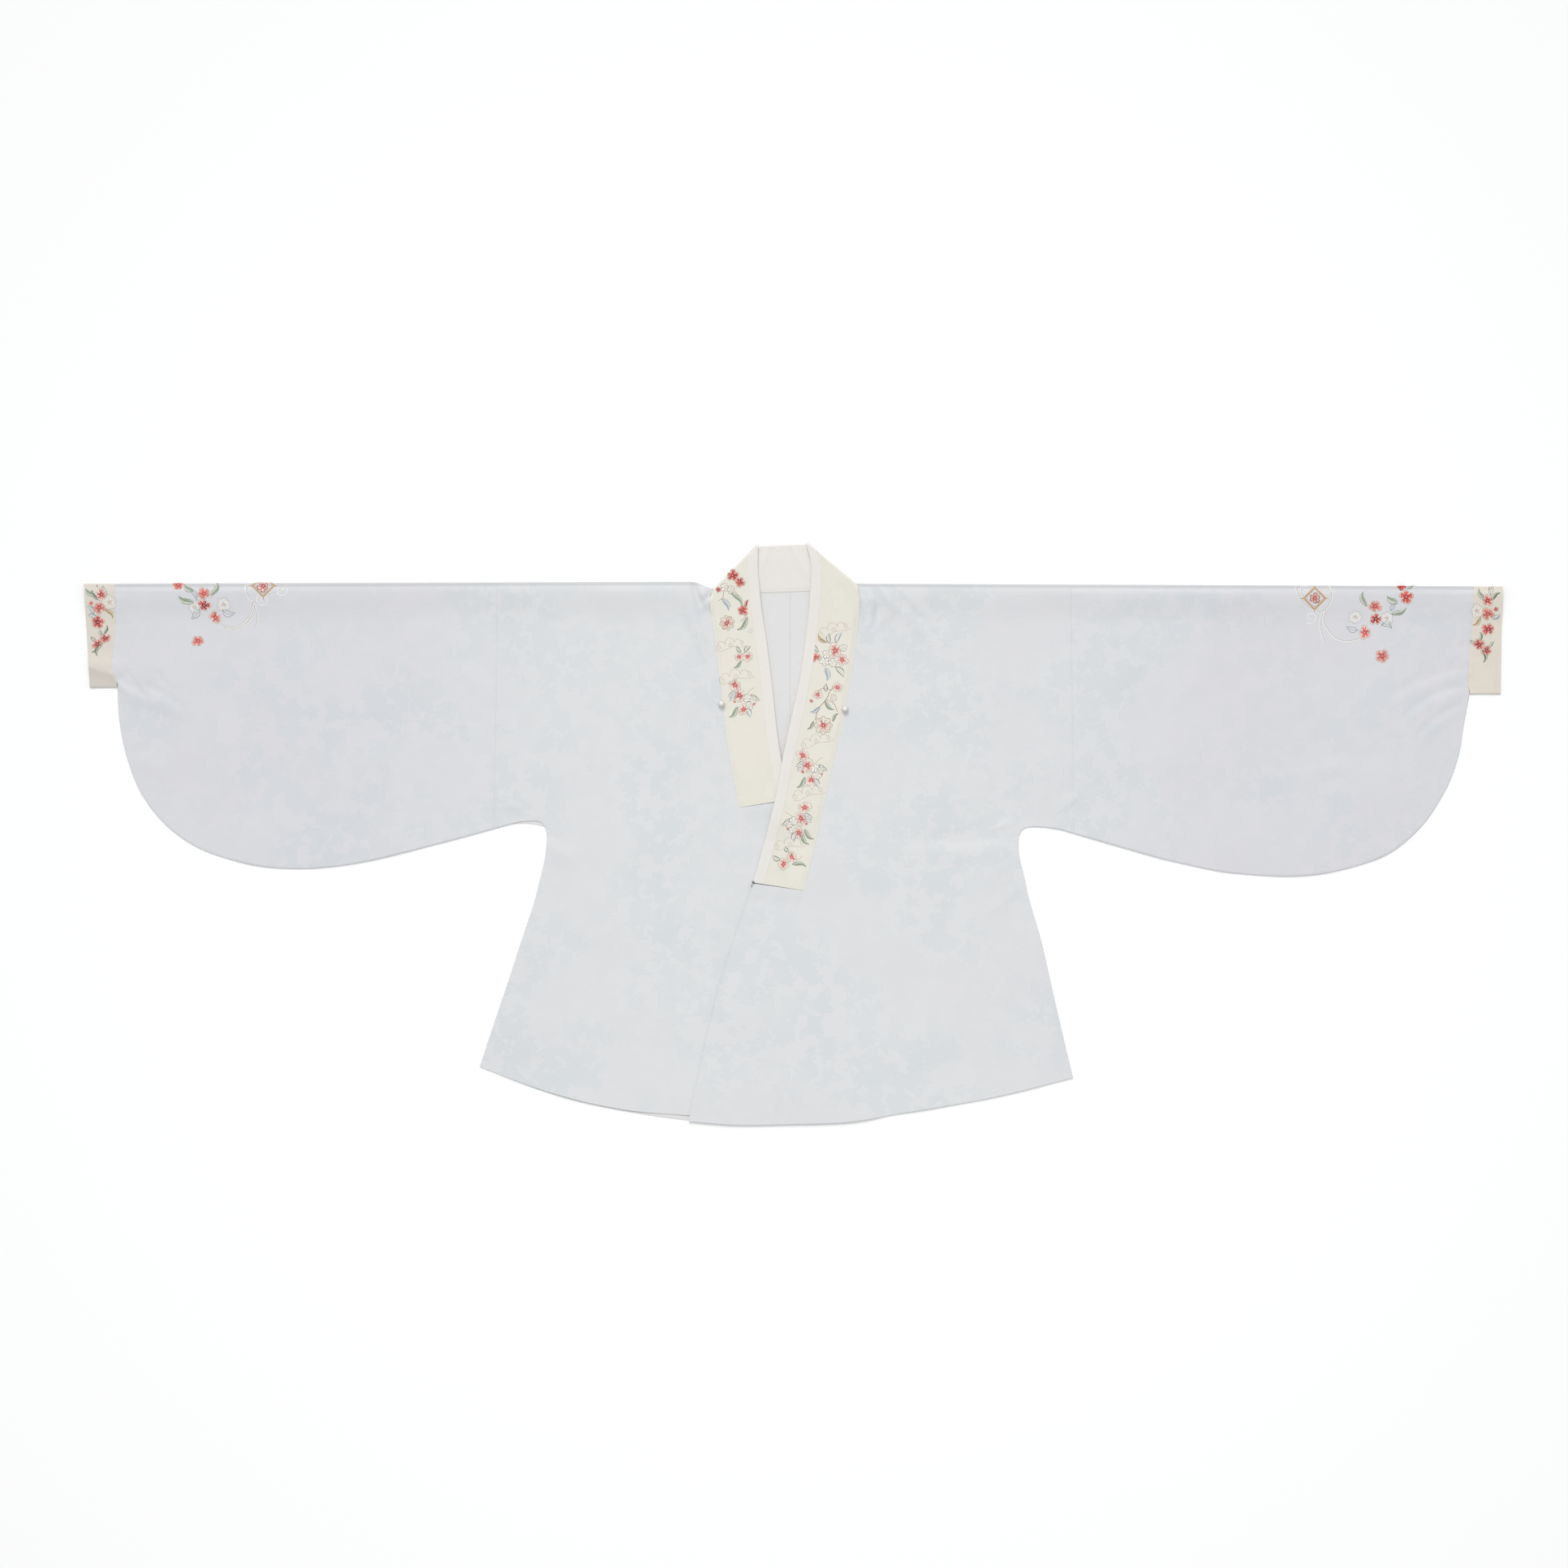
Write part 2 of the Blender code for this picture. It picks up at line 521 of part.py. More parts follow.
def collar_strip(profile):
    """Sweeps a profile (share of width, distance past the free edge, distance off the outer face).

    The sections run from the right leg's end up to its mitre, turn over there, pass behind the neck with
    the inside up, turn over at the left mitre and run down the left leg.
    """
    share, past, off = np.array(profile, float).T
    legs, turns, mitres = {}, {}, {}
    for side in ("right", "left"):
        seam, free = leg_edges(side, np.array(LEG_LEVELS[side]))
        width = np.linalg.norm(free - seam, axis=1)[:, None]
        reach = slant(seam, free)[:, None]
        along = share[None] * (width - GUARD_EDGE * reach) + past[None] * reach
        plan = seam[:, None] + (free - seam)[:, None] * (along / width)[..., None]
        z = leg_z(side, seam[:, None], plan, share[None]) + off[None]
        legs[side] = np.concatenate([plan, z[..., None]], axis=-1)

        mitre = plan[0]
        run = (free - seam)[0] / width[0]
        outward = SIGN[side] * np.array([run[1], -run[0]])
        top_z, low_z = z[0] - off, back_neck_z(share)
        radius = (top_z - low_z) / 2 + off
        angles = np.linspace(0, math.pi, FOLD_STEPS + 1)[1:-1, None]
        turn_plan = mitre + (np.sin(angles) * radius)[..., None] * outward
        turn_z = (top_z + low_z) / 2 + np.cos(angles) * radius
        turns[side] = np.concatenate([turn_plan, turn_z[..., None]], axis=-1)
        mitres[side] = mitre

    t = np.linspace(0, 1, BACK_NECK_STEPS + 1)[:, None]
    behind = mitres["right"][None] * (1 - t)[..., None] + mitres["left"][None] * t[..., None]
    behind[..., 1] -= NECK_SAG * 4 * t * (1 - t) * (1 - share[None])
    low = np.broadcast_to(back_neck_z(share) - off, behind.shape[:2])
    behind = np.concatenate([behind, low[..., None]], axis=-1)
    return np.concatenate([legs["right"][::-1], turns["right"], behind, turns["left"][::-1], legs["left"]])


def collar_band():
    """The straight strip of the collar, folded over at both mitres."""
    sheet = Sheet()
    sheet.add(collar_strip([(share, 0, 0) for share in BAND_SHARES]))
    return sheet.solid("collar", "cream_band")


def collar_guard():
    """The white strip: over the inner face, round the free edge and a little way over the outer face."""
    angles = np.linspace(-math.pi / 2, math.pi / 2, GUARD_TURN_STEPS + 1)[1:-1]
    profile = [(share, 0, -LAYER) for share in GUARD_SHARES]
    profile += [(1, LAYER * math.cos(a), LAYER * math.sin(a)) for a in angles]
    profile += [(1, 0, LAYER), (WRAP_SHARE, 0, LAYER)]
    sheet = Sheet()
    sheet.add(collar_strip(profile))
    return sheet.solid("collar_guard", "white_guard")


def pearl(side):
    """A round bead that rests on the cloth beside the band."""
    x, y = PEARL_AT[side]
    z = front_z(side, np.array([x, y])) + CLOTH / 2 + SEAM_GAP + PEARL / 2
    work = bmesh.new()
    bmesh.ops.create_uvsphere(work, u_segments=16, v_segments=10, radius=PEARL / 2 * MM)
    bmesh.ops.translate(work, verts=work.verts, vec=(x * MM, y * MM, float(z) * MM))
    mesh = bpy.data.meshes.new("pearl_" + side)
    work.to_mesh(mesh)
    work.free()
    return add_object("pearl_" + side, mesh, "pearl")


for old in list(bpy.data.objects):
    bpy.data.objects.remove(old)
make_materials()
for each_side in ("right", "left"):
    body_half(each_side)
    sleeve(each_side)
    cuff(each_side)
    pearl(each_side)
collar_band()
collar_guard()
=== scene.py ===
import math

import bmesh
import bpy
import numpy as np
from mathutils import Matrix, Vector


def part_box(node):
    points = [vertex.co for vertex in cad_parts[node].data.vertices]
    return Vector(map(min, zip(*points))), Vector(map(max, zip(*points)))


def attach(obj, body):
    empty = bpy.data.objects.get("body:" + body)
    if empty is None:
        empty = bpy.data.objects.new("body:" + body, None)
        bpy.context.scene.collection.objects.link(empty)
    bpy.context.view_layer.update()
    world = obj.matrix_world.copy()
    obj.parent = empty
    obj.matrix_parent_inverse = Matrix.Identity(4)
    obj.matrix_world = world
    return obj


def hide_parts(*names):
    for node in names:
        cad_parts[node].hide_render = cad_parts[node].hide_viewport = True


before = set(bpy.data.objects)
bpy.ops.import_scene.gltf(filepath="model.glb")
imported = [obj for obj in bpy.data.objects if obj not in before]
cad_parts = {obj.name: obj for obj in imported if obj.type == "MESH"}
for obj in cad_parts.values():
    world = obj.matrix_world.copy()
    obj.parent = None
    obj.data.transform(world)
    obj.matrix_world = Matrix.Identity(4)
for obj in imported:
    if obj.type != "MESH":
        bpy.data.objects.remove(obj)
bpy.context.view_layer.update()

# Body halves
# Each half is one length of pale jacquard silk that runs over the shoulder from the front hem to the back
# hem, with its side seam closed and turned. The right front lies hidden under the left one.
#
# Sizes are in millimetres until a mesh is made: x from the centre back seam towards the wearer's left, y
# from the shoulder line towards the collar, z up. In tables "out" is a distance from the centre and
# "down" one from the shoulder. A level runs from 0 at the shoulder, 1 at the collar's end, to 2 at the hem.
MM = 0.001
SIGN = {"right": -1.0, "left": 1.0}
PEARL_AT = {"right": (-87.0, -153.5), "left": (69.6, -160.2)}

CLOTH_WALL = 0.5
LAYER = 1.3
BACK_SKIN = 0.3
FRONT_SKIN = 2.3
FOLD_INSET = 2.2
FOLD_SKIN = 4.4
ROLL_WIDTH = 48.0
CREST = (2.1, 9.0, 52.0)
SINK = (0.45, 48.0, 85.0)
FRONT_CLEAR = 1.8
FOLD_ARC = 6.4
SEAM_GAP = 0.05
CENTRE_GAP = 0.16
PANEL_INSET = 0.08
WELD = 0.01
RIM_ANGLE = math.radians(50)

CUFF_EDGE = {"right": (895.6, 888.5), "left": (903.8, 901.3)}
CUFF_SEAM = {"right": (856.5, 852.5), "left": (867.0, 861.0)}
CUFF_DEPTH = {"right": 132.0, "left": 140.0}
SLEEVE_SEAM = {"right": (371.0, 375.0), "left": (356.5, 360.0)}
UNDERARM_DOWN = {"right": 311.0, "left": 317.0}
SHOULDER_DOWN = {"right": (1.0, -1.5), "left": (4.5, 1.0)}
NECK_POINT = {"right": (98.6, 6.4), "left": (84.8, 0.5)}
NECK_CORNER_LEVEL = 0.012
NECK_CORNER_OUT = 0.45
NECK_DIP_START = {"right": 126.0, "left": 104.0}

# Underarm and side seam from the armhole's lower end: level, out, down
SIDE_CURVE = {
    "right": [
        (0.78, 375.0, 311), (0.89, 355.0, 305.5), (1.00, 336.0, 302), (1.06, 318.0, 302.5),
        (1.12, 309.5, 312), (1.19, 308.0, 334), (1.30, 318.0, 382), (1.55, 347.0, 477),
        (1.80, 374.0, 557), (2.00, 393.0, 614),
    ],
    "left": [
        (0.64, 360.0, 317), (0.71, 340.0, 311.5), (0.77, 319.0, 309), (0.82, 299.0, 310),
        (0.87, 290.5, 319), (0.93, 289.0, 338), (1.04, 297.0, 378), (1.35, 319.0, 460),
        (1.70, 340.0, 553), (2.00, 358.0, 628),
    ],
}
LEAN = 1.9

# Legs of the collar, which the neckline follows: level, seam edge x and y, free edge x and y
LEG = {
    "right": [
        (0.00, -99.9, -13.4, -39.7, 46.9), (0.04, -102.2, -23.7, -40.2, 23.7),
        (0.10, -100.4, -40.2, -38.4, -4.1), (0.17, -97.3, -58.7, -36.1, -27.8),
        (0.34, -91.4, -107.1, -29.4, -72.1), (0.47, -86.3, -142.1, -23.2, -120.5),
        (0.64, -82.0, -186.4, -16.8, -180.3), (1.00, -64.9, -285.3, -1.5, -275.0),
    ],
    "left": [
        (0.00, 86.0, -6.2, 19.1, 49.4), (0.03, 88.6, -18.5, 25.2, 28.8),
        (0.07, 88.4, -33.0, 25.8, 6.2), (0.12, 86.0, -53.6, 24.2, -22.7),
        (0.22, 80.9, -94.8, 19.6, -67.0), (0.32, 74.3, -132.9, 13.4, -113.3),
        (0.44, 67.5, -176.1, 3.1, -162.7), (0.55, 57.2, -218.4, -8.2, -214.2),
        (0.70, 43.6, -278.1, -19.7, -276.0), (0.82, 33.3, -324.5, -30.9, -321.4),
        (1.00, 18.0, -390.4, -47.4, -380.1),
    ],
}
NECK_SAG = 2.5
SEAM_RISE_SHARE = 0.12
END_RISE_LENGTH = 28.0
OVERLAP_RAMP = (48.0, 30.0)

# Free edge of each front below its collar end (level, x, down), and where its columns end at the hem
FRONT_EDGE = {
    "right": [(1.00, -1.3, 276.0), (1.50, 42.0, 480.0), (2.00, 83.0, 681.0)],
    "left": [(1.00, -46.9, 381.6), (1.50, -92.0, 520.0), (2.00, -129.0, 683.0)],
}
GUIDE_AT_HEM = {"right": -35.0, "left": -12.0}
BACK_GUIDE_AT_HEM = 90.0
HEM = {
    "right": [(-393, 614), (-350, 631), (-291, 650.5), (-210, 668.5), (-130, 675.5), (-20, 679.5), (83, 681)],
    "left": [(-129, 683), (-72, 687.5), (10, 686.5), (69, 684.5), (144, 672.5), (261, 652), (358, 628)],
    "back": [(-393, 614), (-350, 631.5), (-291, 652.5), (-197, 672.5), (-129, 682), (-72, 686.5),
             (10, 685.5), (69, 683), (144, 671.5), (261, 651), (358, 628)],
}

# Creases that hands leave in laid cloth: start x, y, end x, y, half width, height, and bow to the left of
# the run. Troughs have a height below nothing.
CREASES = [
    (-850, -136, -757, -172, 22, 1.2, 4),
    (-832, -224, -786, -243, 18, 0.9, 2),
    (-420, -104, -374, -158, 20, 1.1, 3),
    (-127, -8, -98, -92, 18, 1.9, -5),
    (106, -10, 100, -70, 16, 1.4, 6),
    (122, -8, 206, -84, 20, 1.5, -3),
    (284, -297, 236, -330, 18, 0.8, 2),
    (288, -335, 150, -342, 20, 0.9, 3),
    (861, -133, 764, -186, 23, 1.1, -9),
    (858, -150, 786, -206, 20, 0.8, -5),
]
FINE_CREASES = [
    (-125, 2, -115, -31, 7, -3.6, 1),
    (-114, -2, -106, -33, 7, 2.6, 1),
    (-117, -32, -97, -12, 6, -3.0, 1),
    (-114, -32, -92, -96, 14, -3.4, 3),
    (-134, -30, -104, -112, 14, 1.2, 4),
    (106, -2, 101, -66, 8, -2.8, 8),
    (117, -6, 118, -58, 8, 1.4, 9),
    (126, -4, 214, -88, 11, -2.2, -4),
    (206, -74, 256, -112, 9, -1.1, -3),
    (-531, -205, -514, -242, 11, 0.9, 2),
    (-640, -290, -560, -318, 14, -0.8, 3),
    (-855, -118, -812, -150, 8, -1.6, 3),
    (-822, -130, -765, -166, 9, -1.3, 5),
    (-806, -112, -786, -140, 6, -0.8, 2),
    (-700, -60, -640, -96, 22, 0.6, 5),
    (862, -104, 750, -156, 9, -1.1, -11),
    (860, -117, 754, -170, 9, 0.7, -12),
    (862, -130, 764, -186, 9, -1.1, -12),
    (849, -78, 862, -96, 5, -0.9, 1),
    (-915, -104, -835, -109, 19, 1.9, 1),
    (-862, -112, -838, -142, 7, 1.1, -2),
    (-846, -108, -822, -134, 6, -0.9, -2),
    (854, -152, 786, -206, 10, -0.9, -6),
    (700, -230, 640, -262, 16, 0.9, -4),
    (520, -120, 470, -170, 20, 0.7, -5),
    (372, -262, 330, -292, 10, 1.1, 3),
    (345, -255, 338, -305, 7, -0.7, 2),
    (-372, -268, -334, -290, 10, 1.0, -3),
    (-330, -318, -262, -352, 14, 0.9, -5),
    (286, -284, 240, -313, 9, -1.7, 2),
    (290, -318, 134, -325, 13, -1.9, 3),
    (300, -372, 250, -420, 12, 0.8, 4),
    (79, -548, 79, -684, 7, 0.5, 1),
    (-40, -396, 22, -404, 16, -0.6, -3),
    (-250, -470, -210, -600, 22, 0.7, 8),
    (230, -500, 190, -640, 24, 0.7, -7),
]


def smooth(t):
    """0 below 0, 1 above 1, and an even S between them."""
    t = np.clip(t, 0.0, 1.0)
    return t * t * (3 - 2 * t)


def steps(first, last, count, crowd=0.5):
    """Even steps from first to last, drawn towards both ends by a share of a cosine."""
    even = np.linspace(0, 1, count)
    eased = 0.5 - 0.5 * np.cos(math.pi * even)
    return first + (last - first) * ((1 - crowd) * even + crowd * eased)


def through(table, at):
    """A smooth curve through a table's rows, read at values of its first column."""
    table = np.array(table, float)
    knots, values = table[:, 0], table[:, 1:]
    slopes = np.gradient(values, knots, axis=0)
    at = np.clip(np.asarray(at, float), knots[0], knots[-1])
    i = np.clip(np.searchsorted(knots, at, side="right") - 1, 0, len(knots) - 2)
    span = (knots[i + 1] - knots[i])[..., None]
    t = (at - knots[i])[..., None] / span
    return (
        (2 * t**3 - 3 * t**2 + 1) * values[i]
        + (t**3 - 2 * t**2 + t) * span * slopes[i]
        + (3 * t**2 - 2 * t**3) * values[i + 1]
        + (t**3 - t**2) * span * slopes[i + 1]
    )


def between(first, last, shares):
    """Points at shares of the way between two points."""
    shares = np.asarray(shares, float)[:, None]
    return np.asarray(first, float) * (1 - shares) + np.asarray(last, float) * shares


def shoulder_y(side, out):
    """Top edge along the arm and shoulder: a straight line that dips by an S at the neck."""
    cuff_down, neck_down = SHOULDER_DOWN[side]
    neck_out, neck_point_down = NECK_POINT[side]
    start = NECK_DIP_START[side]
    along = np.clip((out - start) / (CUFF_EDGE[side][0] - start), 0, 1)
    dip = smooth((start - out) / (start - neck_out))
    return -(neck_down + (cuff_down - neck_down) * along + (neck_point_down - neck_down) * dip)


def on_fold(side, out):
    """Plan points on the axis of the top fold."""
    out = np.asarray(out, float)
    return np.stack([SIGN[side] * out, shoulder_y(side, out) - FOLD_INSET], axis=-1)


def under_left_front(x, y):
    """1 over the hidden right front, falling to 0 past its edge and above its collar end."""
    ramp, width = OVERLAP_RAMP
    table = [(down, edge_x) for _, edge_x, down in FRONT_EDGE["right"]]
    edge = through(table, -y)[..., 0]
    first_down = FRONT_EDGE["right"][0][2]
    return smooth((edge + ramp - x) / width) * smooth((-y - first_down + width) / width)


def crease_height(x, y):
    """Soft ridges and troughs: a raised cosine across each crease, dying away at its ends."""
    height = np.zeros_like(x)
    for x0, y0, x1, y1, half_width, top, bow in CREASES + FINE_CREASES:
        run = np.array([x1 - x0, y1 - y0], float)
        length = np.linalg.norm(run)
        along = ((x - x0) * run[0] + (y - y0) * run[1]) / length**2
        across = ((y - y0) * run[0] - (x - x0) * run[1]) / length - 4 * bow * along * (1 - along)
        ridge = np.cos(np.clip(across / half_width, -1, 1) * math.pi / 2) ** 2
        height += top * ridge * smooth((along + 0.08) / 0.3) * smooth((1.05 - along) / 0.4)
    return height


def square_to(run):
    """Unit directions in plan, square to each step of a run and to its left."""
    return np.column_stack([-run[:, 1], run[:, 0]]) / np.linalg.norm(run, axis=1)[:, None]


RIPPLE_WAVES = 9
RIPPLE_HEIGHT = 0.16
RIPPLE_LENGTHS = (55, 190)
ripple_draw = np.random.default_rng(11)
ripple_turn = ripple_draw.uniform(0, math.pi, RIPPLE_WAVES)
ripple_length = ripple_draw.uniform(*RIPPLE_LENGTHS, RIPPLE_WAVES)
ripple_phase = ripple_draw.uniform(0, 2 * math.pi, RIPPLE_WAVES)


def ripples(x, y):
    """The slow unevenness of laid cloth: waves of many directions, each bent by a longer one."""
    height = np.zeros_like(x)
    for turn, length, phase in zip(ripple_turn, ripple_length, ripple_phase):
        along = x * math.cos(turn) + y * math.sin(turn)
        side = y * math.cos(turn) - x * math.sin(turn)
        height += np.sin(2 * math.pi * along / length + 1.4 * np.sin(side / (0.9 * length) + phase) + phase)
    return RIPPLE_HEIGHT * height


# Cuff swell: most and reach. Its rise and fall: start and length, in shares of the way down the cuff
CUFF_SWELL = {"right": (7.2, 16.0), "left": (-1.6, 16.0)}
SWELL_RISE = (0.3, 0.55)
SWELL_FALL = (0.81, 0.19)
# Seam dip: depth and reach. Pucker: height, reach and wave length
SEAM_DIP = (0.3, 1.5)
PUCKER = (0.12, 8.0, 13.0)


def cuff_swell(side, out, y):
    """How far cloth beside the cuff's seam swells towards the free edge, most just above its lower end."""
    most, reach = CUFF_SWELL[side]
    down = -y / CUFF_DEPTH[side]
    near = np.exp(-(((out - CUFF_SEAM[side][1]) / reach) ** 2))
    (rise_at, rise), (fall_at, fall) = SWELL_RISE, SWELL_FALL
    return most * near * smooth((down - rise_at) / rise) * (1 - smooth((down - fall_at) / fall))


def seam_relief(side, x, y):
    """Cloth beside the sleeve and cuff seams: it dips at the stitching and puckers in short waves."""
    relief = np.zeros_like(x)
    seams = [(SLEEVE_SEAM[side], UNDERARM_DOWN[side]), (CUFF_SEAM[side], CUFF_DEPTH[side])]
    dip, dip_reach = SEAM_DIP
    pucker, pucker_reach, pucker_length = PUCKER
    for (top_out, lower_out), down in seams:
        seam = top_out + (lower_out - top_out) * np.clip(-y / down, 0, 1)
        away = np.abs(np.abs(x) - seam - cuff_swell(side, seam, y))
        above_end = smooth((down + y) / 12 + 0.5)
        wave = np.sin(2 * math.pi * y / pucker_length + 1.7 * np.sin(y / 19 + down))
        relief -= dip * np.exp(-((away / dip_reach) ** 2)) * above_end
        relief += pucker * wave * np.exp(-((away / pucker_reach) ** 2)) * above_end
    return relief


def end_rise(side, x, y):
    """The front below a collar end, which rises to the end's level and falls away below it."""
    seam_x, seam_y, free_x, free_y = LEG[side][-1][1:]
    run_x, run_y = free_x - seam_x, free_y - seam_y
    length = math.hypot(run_x, run_y)
    share = ((x - seam_x) * run_x + (y - seam_y) * run_y) / length**2
    below = SIGN[side] * ((y - seam_y) * run_x - (x - seam_x) * run_y) / length
    return LAYER * smooth(share / SEAM_RISE_SHARE) * (1 - smooth(below / END_RISE_LENGTH)) * (below > -1.0)


def front_skin(side, plan):
    """Upper face of the front: flat level, roll below the top fold, creases, ripples, and what it lies on."""
    x, y = plan[..., 0], plan[..., 1]
    below_fold = shoulder_y(side, np.abs(x)) - FOLD_INSET - y
    settled = smooth(below_fold / 20)
    roll = (FOLD_SKIN - FRONT_SKIN) * (1 - smooth(below_fold / ROLL_WIDTH))
    sink_depth, sink_top, sink_bottom = SINK
    uneven = 0.75 + 0.25 * np.sin(x / 61 + 1.3 * np.sin(x / 143))
    sunk = smooth(below_fold / sink_top) * (1 - smooth((below_fold - sink_top) / sink_bottom))
    z = FRONT_SKIN + roll - sink_depth * uneven * sunk + ripples(x, y) * settled
    crest_height, crest_at, crest_end = CREST
    crest = smooth(below_fold / crest_at) * (1 - smooth((below_fold - crest_at) / (crest_end - crest_at)))
    z = z + crest_height * uneven * crest + crease_height(x, y) * smooth(below_fold / 7) - FRONT_CLEAR
    z = FRONT_CLEAR + (z + np.sqrt(z**2 + 0.06)) / 2
    z = z + seam_relief(side, x, y) * smooth(below_fold / 3) + end_rise(side, x, y)
    if side == "left":
        z = z + LAYER * under_left_front(x, y)
    return z


def back_skin(side, plan):
    """Lower face of the back, which rests on the surface and rises a little in soft waves and at seams."""
    x, y = plan[..., 0], plan[..., 1]
    waves = 0.5 * RIPPLE_HEIGHT * (1 + np.sin(x / 41 + np.sin(y / 57)) * np.sin(y / 33 + 2))
    relief = seam_relief(side, x, y)
    return BACK_SKIN + waves - 0.6 * relief * (np.abs(relief) > 0.02)


def lie(side, plan, layer):
    """Gives plan points their height on the front or the back."""
    z = front_skin(side, plan) if layer == "front" else back_skin(side, plan)
    return np.concatenate([plan, z[..., None]], axis=-1)


def patch(left, right, top, bottom, across, down, lean=1.0):
    """A Coons patch: a grid between four edge curves, whose rows may leave the left edge at a slant."""
    s, v = np.asarray(across, float)[None, :, None], np.asarray(down, float)[:, None, None]
    ease = np.concatenate([s, 1 - (1 - s) ** lean], axis=2)
    grid = left[:, None] * (1 - ease) + right[:, None] * ease
    grid = grid + (1 - v) * (top[None] - top[0] * (1 - ease) - top[-1] * ease)
    return grid + v * (bottom[None] - bottom[0] * (1 - ease) - bottom[-1] * ease)


def turned(front_edge, back_edge, outward, count):
    """A half turn of cloth from a front edge round to the back edge below it, bulging outward."""
    angles = np.linspace(math.pi / 2, -math.pi / 2, count + 1)[:, None, None]
    middle, half = (front_edge + back_edge) / 2, (front_edge - back_edge) / 2
    bulge = np.abs(half[:, 2:3]) * outward
    grid = middle + np.sin(angles) * half + np.cos(angles) * bulge
    grid[0], grid[-1] = front_edge, back_edge
    arc = np.linspace(0, FOLD_ARC, count + 1)[:, None, None]
    return grid, front_edge[None, :, :2] + arc * np.broadcast_to(outward, front_edge.shape)[None, :, :2]


def away_from_cloth(side, edge):
    """Unit directions in plan, square to a lower or side edge that runs from the cuff to the hem."""
    return np.column_stack([SIGN[side] * square_to(np.gradient(edge[:, :2], axis=0)), np.zeros(len(edge))])


def unrolled(side, plan, layer):
    """Places on the flat cloth: plan points for the front, and turned up over the top fold for the back."""
    if layer == "front":
        return plan
    fold_y = shoulder_y(side, np.abs(plan[..., 0])) - FOLD_INSET
    return np.stack([plan[..., 0], 2 * fold_y + FOLD_ARC - plan[..., 1]], axis=-1)


def to_frame(points):
    """Millimetres of the robe to metres of the frame, placed by the right pearl."""
    low, high = (np.array(corner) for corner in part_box("pearl_right"))
    shift = (low[:2] + high[:2]) / 2 - np.array(PEARL_AT["right"]) * MM
    return points * MM + np.array([*shift, 0.0])


def grid_faces(rows, columns, first=0, flip=False):
    """Corner numbers of the quads of a grid, wound the other way if it faces inwards."""
    index = first + np.arange(rows * columns).reshape(rows, columns)
    corners = [index[:-1, :-1], index[1:, :-1], index[1:, 1:], index[:-1, 1:]]
    return np.stack(corners[::-1] if flip else corners, axis=-1).reshape(-1, 4)


def quad_normals(points):
    """Cross product of each quad's diagonals, twice its area long."""
    return np.cross(points[1:, 1:] - points[:-1, :-1], points[:-1, 1:] - points[1:, :-1])


def weld(mesh, reach):
    """Merges the mesh's points that lie within a reach of each other."""
    work = bmesh.new()
    work.from_mesh(mesh)
    bmesh.ops.remove_doubles(work, verts=work.verts, dist=reach * MM)
    work.to_mesh(mesh)
    work.free()


def lay_out(name, data):
    """Links a new object with its mesh, light or camera to the scene."""
    thing = bpy.data.objects.new(name, data)
    bpy.context.collection.objects.link(thing)
    return thing


class Sheet:
    """A cloth piece under construction: grids of points that meet at shared edges."""

    def __init__(self):
        self.points, self.places, self.faces = [], [], []
        self.count, self.area = 0, 0.0

    def add(self, points, places, facing):
        """Adds a grid with its places on the flat cloth, its faces turned the way that facing points."""
        normals = quad_normals(points)
        looks = np.broadcast_to(np.asarray(facing, float), points.shape)[:-1, :-1]
        flip = float((normals * looks).sum()) < 0
        self.faces.append(grid_faces(*points.shape[:2], self.count, flip))
        self.points.append(points.reshape(-1, 3))
        self.places.append(np.broadcast_to(places, points.shape[:2] + (2,)).reshape(-1, 2))
        self.count += points.shape[0] * points.shape[1]
        self.area += float(np.linalg.norm(normals, axis=-1).sum()) / 2

    def sew(self, name, node, material, slot, wall=CLOTH_WALL, offset=-1.0, reverse=None):
        """Merges the grids into a mesh with a UV map in metres and a wall, which stands for its node."""
        faces = np.concatenate(self.faces)
        places = np.concatenate(self.places) * MM
        mesh = bpy.data.meshes.new(name)
        mesh.from_pydata(to_frame(np.concatenate(self.points)).tolist(), [], faces.tolist())
        mesh.uv_layers.new(name="cloth").data.foreach_set("uv", places[faces.ravel()].ravel())
        weld(mesh, WELD)
        mesh.shade_smooth()
        mesh.materials.append(material)
        piece = lay_out(name, mesh)
        thickness = piece.modifiers.new("wall", "SOLIDIFY")
        thickness.thickness = wall * MM
        thickness.offset = offset
        if reverse:
            mesh.materials.append(reverse)
            thickness.material_offset = 1
        bpy.context.view_layer.update()
        depsgraph = bpy.context.evaluated_depsgraph_get()
        walled = bpy.data.meshes.new_from_object(
            piece.evaluated_get(depsgraph), preserve_all_data_layers=True, depsgraph=depsgraph
        )
        walled.set_sharp_from_angle(angle=RIM_ANGLE)
        piece.modifiers.clear()
        piece.data = walled
        bpy.data.meshes.remove(mesh)
        walled.name = name
        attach(piece, "root")
        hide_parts(node)
        return piece


def new_group(name, inputs, outputs):
    """An empty shader node group with named sockets, and its input and output nodes."""
    group = bpy.data.node_groups.new(name, "ShaderNodeTree")
    for socket_name, kind in inputs:
        group.interface.new_socket(socket_name, in_out="INPUT", socket_type="NodeSocket" + kind)
    for socket_name, kind in outputs:
        group.interface.new_socket(socket_name, in_out="OUTPUT", socket_type="NodeSocket" + kind)
    return group, group.nodes.new("NodeGroupInput"), group.nodes.new("NodeGroupOutput")


def feed(tree, socket, value):
    """Joins a socket to another node's output, or sets it to a plain value."""
    if isinstance(value, bpy.types.NodeSocket):
        tree.links.new(value, socket)
    else:
        socket.default_value = value


